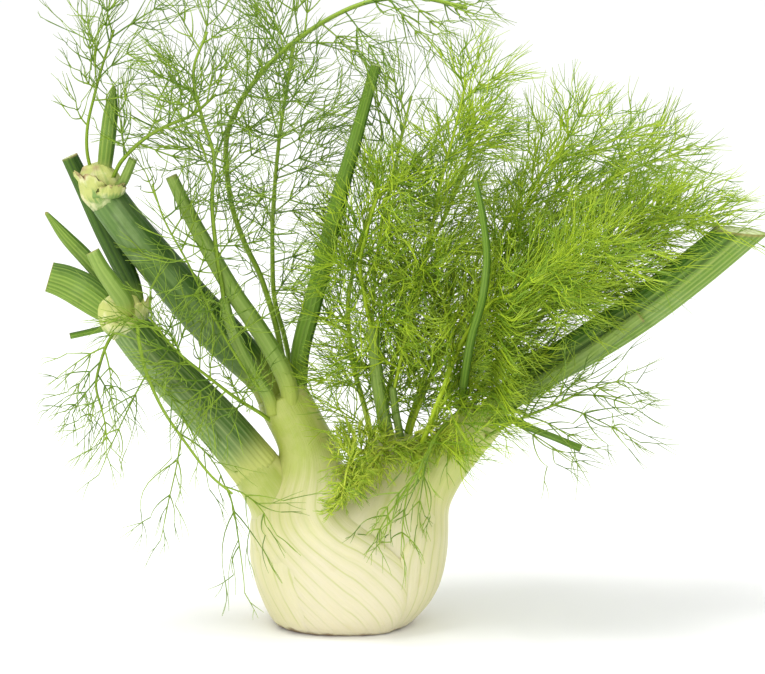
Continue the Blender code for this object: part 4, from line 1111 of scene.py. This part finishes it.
class Threads:
    """Lines of a frond before they get their thickness, with the values that the growth reads."""

    def __init__(self):
        self.points, self.edges = [], []
        self.values = {"thick": [], "grow": [], "tint": [], "tip": [], "sway": []}

    def add(self, line, thick, grow, tint, tip, sway):
        """A line. thick, tip and sway are given at its start and its end."""
        first, last = len(self.points), len(line) - 1
        self.points += [point * MM for point in line]
        self.edges += [(first + i, first + i + 1) for i in range(last)]
        ends = {"thick": thick, "grow": (grow, grow), "tint": (tint, tint), "tip": tip, "sway": sway}
        for name, (start, end) in ends.items():
            unit = MM if name == "thick" else 1
            self.values[name] += [(start + (end - start) * (i / last)) * unit for i in range(last + 1)]

    def to_object(self, name):
        mesh = bpy.data.meshes.new(name)
        mesh.from_pydata(self.points, self.edges, [])
        for tag, values in self.values.items():
            mesh.attributes.new(tag, "FLOAT", "POINT").data.foreach_set("value", values)
        made = bpy.data.objects.new(name, mesh)
        bpy.context.scene.collection.objects.link(made)
        return made


def bowed(start, end, bow, count):
    """A line from start to end that bows out by the given vector."""
    points = []
    for i in range(count + 1):
        share = i / count
        points.append(start.lerp(end, share) + bow * 4 * share * (1 - share))
    return points


def frond_threads(name, spec, walls):
    """The stem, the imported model's sprigs and threads, and more sprigs between them."""
    threads = Threads()
    stem = smooth_line(spec.line, spec.rings)
    fine_stem = smooth_line(spec.line, spec.rings * 6)
    threads.add(fine_stem, spec.radii, 0, 0.8, (0.3, 0.6), (0, 0))
    packed = frame["nodes"][name].data.vertices if name in frame["nodes"] else ()
    model = search_tree([vertex.co / MM for vertex in packed])
    carrier = search_tree(fine_stem)

    def in_model(point):
        return model.find(point)[2] < FOUND

    def clear(line):
        for point in line[1:]:
            place, normal, _, distance = walls.find_nearest(point)
            if distance < CLEAR * (spec.length or 1) or (point - place).dot(normal) < 0:
                return False
        return True

    def add_sprig(key, line, stem_radius, kept):
        rng = draw(*key, "look")
        tint = rng.random()
        shape = smooth_line([carrier.find(line[0])[0], *line[1:]], 10)
        threads.add(shape, SPRIG_THICKNESS, 1, tint, (0.1, 1), (0, 0.6))
        whole = (line[-1] - line[0]).length
        for fork, (centre, way, roots) in enumerate(sprig_forks(line, min(SPRIG_RADIUS, 0.8 * stem_radius))):
            start = min(shape, key=lambda p: (p - centre).length)
            room, sway = whole * (1 - FORKS[fork]), (0.6 * FORKS[fork], 1.0)
            for side, (root, out) in enumerate(roots):
                for attempt in range(TRIES):
                    tip = thread_tip((*key, fork, side, attempt), root, out, way, Vector(spec.lean), room)
                    if tip and (in_model(tip) if kept else clear([root, tip])):
                        bow = out * rng.uniform(0.04, 0.16) + way.cross(out) * rng.uniform(-0.12, 0.12)
                        thread = bowed(start, tip, bow * (tip - root).length, 6)
                        threads.add(thread, THREAD_THICKNESS, 1, (tint + rng.random()) / 2, (0.2, 1), sway)
                        break

    for whorl in range(spec.whorls if packed else 0):
        for branch in range(spec.per_whorl):
            for attempt in range(TRIES):
                line, stem_radius = sprig_line(name, spec, stem, whorl, branch, attempt)
                if in_model(line[-1]):
                    add_sprig((name, whorl, branch), line, stem_radius, True)
                    break
    wide = spec._replace(spread=spec.spread * WIDER)
    early = EARLY if spec.dense > DENSE else 0.0
    for extra in range(spec.more):
        whorl = round((spec.whorls - 1) * ((1 + early) * (extra + 0.5) / spec.more - early), 3)
        for attempt in range(TRIES):
            line, stem_radius = sprig_line(name, wide, stem, whorl, extra % 2, attempt)
            if clear(line):
                add_sprig((name, "more", extra), line, stem_radius, False)
                break
    return threads


def thread_shape(graph, main_end, forks):
    """One fine thread of unit length with its forks, as curves. tip is how far along it a point is."""
    start, middle, end = Vector((0, 0, 0)), Vector((0.09, 0.0, 0.5)), Vector(main_end)
    curves = [(start, middle, end, 0.0, 5)]
    for at, side, lift, length in forks:
        root = start * (1 - at) ** 2 + middle * 2 * at * (1 - at) + end * at * at
        heading = Vector((math.sin(side), lift, math.cos(side))).normalized() * length
        bend = Vector((math.copysign(0.03, side), 0, 0))
        curves.append((root, root + heading * 0.5 + bend, root + heading, at, 3))
    made = []
    for start, middle, end, at, steps in curves:
        curve = graph.geometry("CurveQuadraticBezier", Resolution=steps, Start=start, Middle=middle, End=end)
        share = graph.geometry("SplineParameter")
        made.append(graph.store(curve, "tip", share * (1 - at) + at))
    return graph.out("GeometryNodeGeometryToInstance", inputs={0: graph.join(reversed(made))})


def kept_clear(graph):
    """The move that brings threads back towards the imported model's box, and behind the slim right stalk."""
    x, y, z = place = graph.parts(graph.geometry("InputPosition"))
    moves = []
    for axis, low, high in zip(place, *CAD_BOX):
        past = (axis - high).maths("MAXIMUM", 0.0) + (axis - low).maths("MINIMUM", 0.0)
        moves.append(past * PULL_BACK)
    foot, top = PARTING["foot"] * MM, PARTING["top"] * MM
    near = graph.step(abs(x - PARTING["x"] * MM), PARTING["fade"] * MM, PARTING["half"] * MM)
    near = near * graph.step(z, foot - 6 * MM, foot + 12 * MM) * graph.step(z, top + 12 * MM, top)
    behind = PARTING["y"] * MM - (z - foot) * PARTING["lean"] - y
    moves[1] += near * behind.maths("MAXIMUM", 0.0)
    return graph.joined(*moves)


def growth_tree():
    """The tree that grows fine forking threads along a frond's lines and gives every line its thickness.
    It returns the tree and its inputs' identifiers by name."""
    tree = bpy.data.node_groups.new("thread growth", "GeometryNodeTree")
    graph = Graph(tree)
    sockets = {}
    for name, kind, value in (
        ("Lines", "Geometry", None),
        ("Thread spacing", "Float", 0.004),
        ("Thread length", "Float", 0.012),
        ("Thread radius", "Float", 0.0003),
        ("Spread", "Float", math.radians(34)),
        ("Sway", "Float", 0.004),
        ("Sides", "Int", 3),
        ("Seed", "Int", 1),
        ("Material", "Material", None),
    ):
        socket = tree.interface.new_socket(name, in_out="INPUT", socket_type="NodeSocket" + kind)
        if value is not None:
            socket.default_value = value
        sockets[name] = socket.identifier
    tree.interface.new_socket("Threads", in_out="OUTPUT", socket_type="NodeSocketGeometry")
    entry = graph.node("NodeGroupInput")
    given = {name: Output(graph, entry.outputs[name]) for name in sockets}

    def random_value(low, high, number):
        inputs = {2: low, 3: high, "Seed": given["Seed"] + number}
        return graph.out("FunctionNodeRandomValue", {"data_type": "FLOAT"}, inputs, output=1)

    lines = graph.geometry("MeshToCurve", Mesh=given["Lines"])
    growing = graph.named("grow").maths("GREATER_THAN", 0.5)
    bearing = graph.geometry("SeparateGeometry", {"domain": "CURVE"}, Geometry=lines, Selection=growing)
    spacing = given["Thread spacing"]
    points = graph.geometry("ResampleCurve", {"mode": "LENGTH"}, Curve=bearing, Length=spacing)
    shapes = graph.join(thread_shape(graph, end, forks) for end, forks in THREAD_SHAPES)
    tangent = graph.geometry("InputTangent")
    aligned = graph.out("FunctionNodeAlignRotationToVector", {"axis": "Z"}, {"Vector": tangent})
    roll = graph.joined(0.0, 0.0, random_value(0.0, FULL_TURN, 11))
    tilt = graph.joined(0.0, given["Spread"] * random_value(0.7, 1.35, 12), 0.0)
    for turn in (roll, tilt):
        turn = graph.out("FunctionNodeEulerToRotation", inputs={0: turn})
        aligned = graph.out("FunctionNodeRotateRotation", {"rotation_space": "LOCAL"}, {0: aligned, 1: turn})
    share = graph.geometry("SplineParameter")
    pick = {4: 0, 5: len(THREAD_SHAPES) - 1, "Seed": given["Seed"] + 14}
    grown = graph.geometry(
        "InstanceOnPoints",
        Points=graph.store(points, "root_sway", graph.named("sway")),
        Selection=share.maths("GREATER_THAN", BARE_ROOT),
        Instance=shapes,
        Pick_Instance=True,
        Instance_Index=graph.out("FunctionNodeRandomValue", {"data_type": "INT"}, pick, output=2),
        Rotation=aligned,
        Scale=given["Thread length"] * random_value(0.65, 1.25, 13) * (1.05 - share * 0.4),
    )
    grown = graph.store(grown, "tint", random_value(0.0, 1.0, 15), "INSTANCE")
    grown = graph.geometry("RealizeInstances", Geometry=grown)
    tip = graph.named("tip")
    grown = graph.store(grown, "sway", graph.named("root_sway") + tip * 0.8)
    grown = graph.store(grown, "thick", given["Thread radius"] * (1.05 - (tip**1.3) * 0.72))
    where = graph.geometry("InputPosition")
    waves = {"Vector": where, "Scale": 21.0, "Detail": 1.0}
    drift = graph.out("ShaderNodeTexNoise", inputs=waves, output="Color")
    drift = graph.out("ShaderNodeVectorMath", {"operation": "SUBTRACT"}, {0: drift, 1: (0.5, 0.5, 0.5)})
    far = given["Sway"] * graph.named("sway") * 2.0
    drift = graph.out("ShaderNodeVectorMath", {"operation": "SCALE"}, {0: drift, "Scale": far})
    moved = graph.geometry("SetPosition", Geometry=graph.join((lines, grown)), Offset=drift)
    moved = graph.geometry("SetPosition", Geometry=moved, Offset=kept_clear(graph))
    circle = graph.geometry("CurvePrimitiveCircle", {"mode": "RADIUS"}, Resolution=given["Sides"], Radius=1.0)
    thick = {"Curve": moved, "Profile_Curve": circle, "Scale": graph.named("thick"), "Fill_Caps": True}
    mesh = graph.geometry("CurveToMesh", **thick)
    mesh = graph.geometry("SetShadeSmooth", Geometry=mesh, Shade_Smooth=True)
    mesh = graph.geometry("RealizeInstances", Geometry=mesh)
    mesh = graph.geometry("SetMaterial", Geometry=mesh, Material=given["Material"])
    graph.node("NodeGroupOutput", inputs={0: mesh})
    return tree, sockets


def grow(base, tree, sockets, values):
    """Runs the growth on a frond's lines and leaves the object as a plain mesh."""
    change = base.modifiers.new("growth", "NODES")
    change.node_group = tree
    for name, value in values.items():
        change[sockets[name]] = value
    bpy.context.view_layer.update()
    graph = bpy.context.evaluated_depsgraph_get()
    mesh = bpy.data.meshes.new_from_object(base.evaluated_get(graph))
    base.modifiers.clear()
    old = base.data
    base.data = mesh
    bpy.data.meshes.remove(old)
    mesh.name = base.name
    return base


def colour_setting(name, description, default):
    settings = {"subtype": "COLOR", "size": 4, "min": 0, "max": 1}
    return FloatVectorProperty(name=name, description=description, default=default, **settings)


def length_setting(name, description, default, least=0.0):
    return FloatProperty(name=name, description=description, default=default, min=least, unit="LENGTH")


def angle_setting(name, description, degrees):
    return FloatProperty(name=name, description=description, default=math.radians(degrees), unit="ROTATION")


class StageSettings(bpy.types.PropertyGroup):
    floor_colour: colour_setting("Floor colour", "Colour of the plain floor", (0.95, 0.95, 0.95, 1))
    key_strength: FloatProperty(
        name="Key light", description="Power of the soft key light", default=26, min=0, unit="POWER"
    )
    camera_distance: length_setting("Camera distance", "From the camera to the object", 2.4, 0.5)
    camera_elevation: angle_setting("Camera elevation", "Angle of the view above the horizon", 12)


class LeafBaseSettings(bpy.types.PropertyGroup):
    rib_depth: length_setting("Rib depth", "How far the lines between the ribs are sunk", 0.00036)
    groove_width: FloatProperty(
        name="Line width", description="Width of a line between two ribs, as a share of a rib",
        default=0.065, min=0.02, max=0.4,
    )
    cream: colour_setting("Cream", "Colour of the blanched lower part", rgb(221, 213, 181))
    pale_green: colour_setting("Pale green", "Colour towards the top and sides", rgb(210, 207, 138))
    rib_line: colour_setting("Rib line", "Colour of the lines between ribs", rgb(178, 187, 92))


class FrondSettings(bpy.types.PropertyGroup):
    bright: colour_setting("Bright green", "Colour of the dense fronds", rgb(182, 208, 44))
    shaded: colour_setting("Shaded green", "Darker threads of the dense fronds", rgb(114, 152, 24))
    thread_radius: length_setting("Thread radius", "Radius of a fine thread at its root", 0.0003, 0.0001)
    thread_length: length_setting("Thread length", "Length of a fine thread in a dense frond", 0.025, 0.002)
    thread_spacing: length_setting(
        "Thread spacing", "Distance between fine threads in a dense frond", 0.0046, 0.001
    )
    spread: angle_setting("Thread spread", "Angle between a fine thread and what carries it", 27)
    sway: length_setting("Sway", "How far threads bend out of line", 0.006)
    seed: IntProperty(name="Seed", description="Another number gives other threads", default=7, min=0)


def put(piece, slot, *nodes):
    """Ties a piece to the model: it moves with the one body and stands for the nodes."""
    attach(piece, "root")
    if nodes:
        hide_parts(*nodes)


class FENNEL_OT_stage(bpy.types.Operator):
    """Sets up the floor, the lights and the camera"""

    bl_idname = "fennel.stage"
    bl_label = "Stage"

    def execute(self, context):
        scene, settings = context.scene, context.scene.fennel_stage
        scene.view_settings.view_transform = "Standard"
        mesh = bpy.data.meshes.new("floor")
        mesh.from_pydata([(-6, -4, 0), (6, -4, 0), (6, 12, 0), (-6, 12, 0)], [], [(0, 1, 2, 3)])
        floor = bpy.data.objects.new("floor", mesh)
        scene.collection.objects.link(floor)
        it = Finish("floor_white")
        it.colour = it.mix(it.spots(3.0, 2.0) * 0.2, settings.floor_colour, (0.96, 0.96, 0.96, 1))
        mesh.materials.append(it.finish(0.7))
        world = bpy.data.worlds.new("studio")
        world.use_nodes = True
        backdrop = world.node_tree.nodes["Background"]
        backdrop.inputs["Color"].default_value = (1.0, 1.0, 1.0, 1)
        backdrop.inputs["Strength"].default_value = BACKDROP_STRENGTH
        scene.world = world
        for name, (place, size, power) in LIGHTS.items():
            light = bpy.data.lights.new(name, "AREA")
            light.size, light.energy = size, settings.key_strength * power
            lamp = bpy.data.objects.new(name, light)
            lamp.location = place
            lamp.rotation_euler = (Vector(LIGHTS_AIM) - Vector(place)).to_track_quat("-Z", "Y").to_euler()
            scene.collection.objects.link(lamp)
        tilt = settings.camera_elevation
        back = Vector((0, -math.cos(tilt), math.sin(tilt)))
        up = Vector((0, math.sin(tilt), math.cos(tilt)))
        target = Vector((1, 0, 0)) * (PICTURE[0] / 2 - PICTURE_BASE[0]) * PIXEL * MM
        target += up * (PICTURE_BASE[1] - PICTURE[1] / 2) * PIXEL * MM
        data = bpy.data.cameras.new("camera")
        data.lens = data.sensor_width * settings.camera_distance / (PICTURE[0] * PIXEL * MM)
        camera = bpy.data.objects.new("camera", data)
        camera.location = target + back * settings.camera_distance
        camera.rotation_euler = (-back).to_track_quat("-Z", "Y").to_euler()
        scene.collection.objects.link(camera)
        scene.camera = camera
        return {"FINISHED"}


class FENNEL_OT_leaf_bases(bpy.types.Operator):
    """Builds the ribbed leaf bases that make up the bulb"""

    bl_idname = "fennel.leaf_bases"
    bl_label = "Leaf bases"

    def execute(self, context):
        settings = context.scene.fennel_leaf_bases
        for name, spec in SHEATHS.items():
            material = leaf_base_finish(name, settings, spec["colour"], spec["side_shade"])
            put(sheath(name, spec, settings, material), "leaf_base_cream", "bulb")
        inner = leaf_base_finish("leaf_bases_inner", settings, (214, 220, 150), 0.5)
        put(heart(settings, inner), "leaf_base_cream", "bulb")
        return {"FINISHED"}


class FENNEL_OT_stalks(bpy.types.Operator):
    """Builds the stalks and the cut stubs on the joints"""

    bl_idname = "fennel.stalks"
    bl_label = "Stalks and stubs"

    def execute(self, context):
        finishes = {name: stalk_finish(name) for name in STALK_FINISHES}
        slots = {row["node"]: row["material_slot"] for row in frame["record"]["subparts"]}
        for name, spec in {**STALKS, **STUBS}.items():
            piece = stalk(name + "_fine", spec, finishes[spec.finish])
            put(piece, slots[name], name)
        return {"FINISHED"}


class FENNEL_OT_joints(bpy.types.Operator):
    """Builds the pale joints of the two left stalks with their dry sheaths"""

    bl_idname = "fennel.joints"
    bl_label = "Joints"

    def execute(self, context):
        material = joint_finish()
        for name, spec in JOINTS.items():
            piece = stalk(name + "_fine", spec, material, bumps=0.45, rounded=1.6)
            put(piece, "joint_pale", name)
        for number, row in enumerate(JOINT_SHEATHS):
            piece = clasp(f"joint_sheath_{number}", *row, material, seed=number)
            put(piece, "joint_pale")
        return {"FINISHED"}


class FENNEL_OT_fronds(bpy.types.Operator):
    """Grows the fronds: stems, sprigs and fine forking threads"""

    bl_idname = "fennel.fronds"
    bl_label = "Fronds"

    def execute(self, context):
        settings = context.scene.fennel_fronds
        bright = frond_finish("frond_bright", settings.bright, settings.shaded)
        sparse = frond_finish("frond_sparse", (138, 168, 44), (92, 128, 26))
        young = frond_finish("frond_young", (206, 220, 74), (146, 176, 36))
        tree, sockets = growth_tree()
        points, faces = [], []
        for name, node in frame["nodes"].items():
            if not name.startswith("frond"):
                first = len(points)
                points += [vertex.co / MM for vertex in node.data.vertices]
                faces += [[first + i for i in polygon.vertices] for polygon in node.data.polygons]
        walls = BVHTree.FromPolygons(points, faces)
        for number, (name, spec) in enumerate({**FRONDS, **FINE_FRONDS}.items()):
            base = frond_threads(name, spec, walls).to_object(name + "_threads")
            thin = spec.dense < DENSE
            values = {
                "Thread spacing": settings.thread_spacing / spec.dense,
                "Thread length": settings.thread_length * (spec.length or (1.15 if thin else 1.0)),
                "Thread radius": settings.thread_radius,
                "Spread": settings.spread,
                "Sway": settings.sway,
                "Sides": 3,
                "Seed": settings.seed + 20 * number,
                "Material": young if spec.dense > 1 else sparse if thin else bright,
            }
            piece = grow(base, tree, sockets, values)
            put(piece, "frond_green", *([name] if name in FRONDS else []))
        bpy.data.node_groups.remove(tree)
        return {"FINISHED"}


class FENNEL_PT_panel(bpy.types.Panel):
    """Lists the steps that build the fennel bulb, and their settings"""

    bl_label = "Fennel bulb"
    bl_space_type = "VIEW_3D"
    bl_region_type = "UI"
    bl_category = "Fennel"

    def draw(self, context):
        for operator in OPERATORS:
            self.layout.operator(operator.bl_idname)
        for group in SETTINGS:
            box = self.layout.box()
            settings = getattr(context.scene, group)
            for name in settings.__annotations__:
                box.prop(settings, name)


SETTINGS = {
    "fennel_stage": StageSettings,
    "fennel_leaf_bases": LeafBaseSettings,
    "fennel_fronds": FrondSettings,
}
OPERATORS = (FENNEL_OT_stage, FENNEL_OT_leaf_bases, FENNEL_OT_stalks, FENNEL_OT_joints, FENNEL_OT_fronds)


def register():
    for item in (*SETTINGS.values(), *OPERATORS, FENNEL_PT_panel):
        bpy.utils.register_class(item)
    for name, group in SETTINGS.items():
        setattr(bpy.types.Scene, name, PointerProperty(type=group))


def unregister():
    for name in SETTINGS:
        delattr(bpy.types.Scene, name)
    for item in (FENNEL_PT_panel, *reversed(OPERATORS), *SETTINGS.values()):
        bpy.utils.unregister_class(item)


def main():
    register()
    bpy.ops.fennel.stage()
    bpy.ops.fennel.leaf_bases()
    bpy.ops.fennel.stalks()
    bpy.ops.fennel.joints()
    bpy.ops.fennel.fronds()


if __name__ == "__main__":
    main()
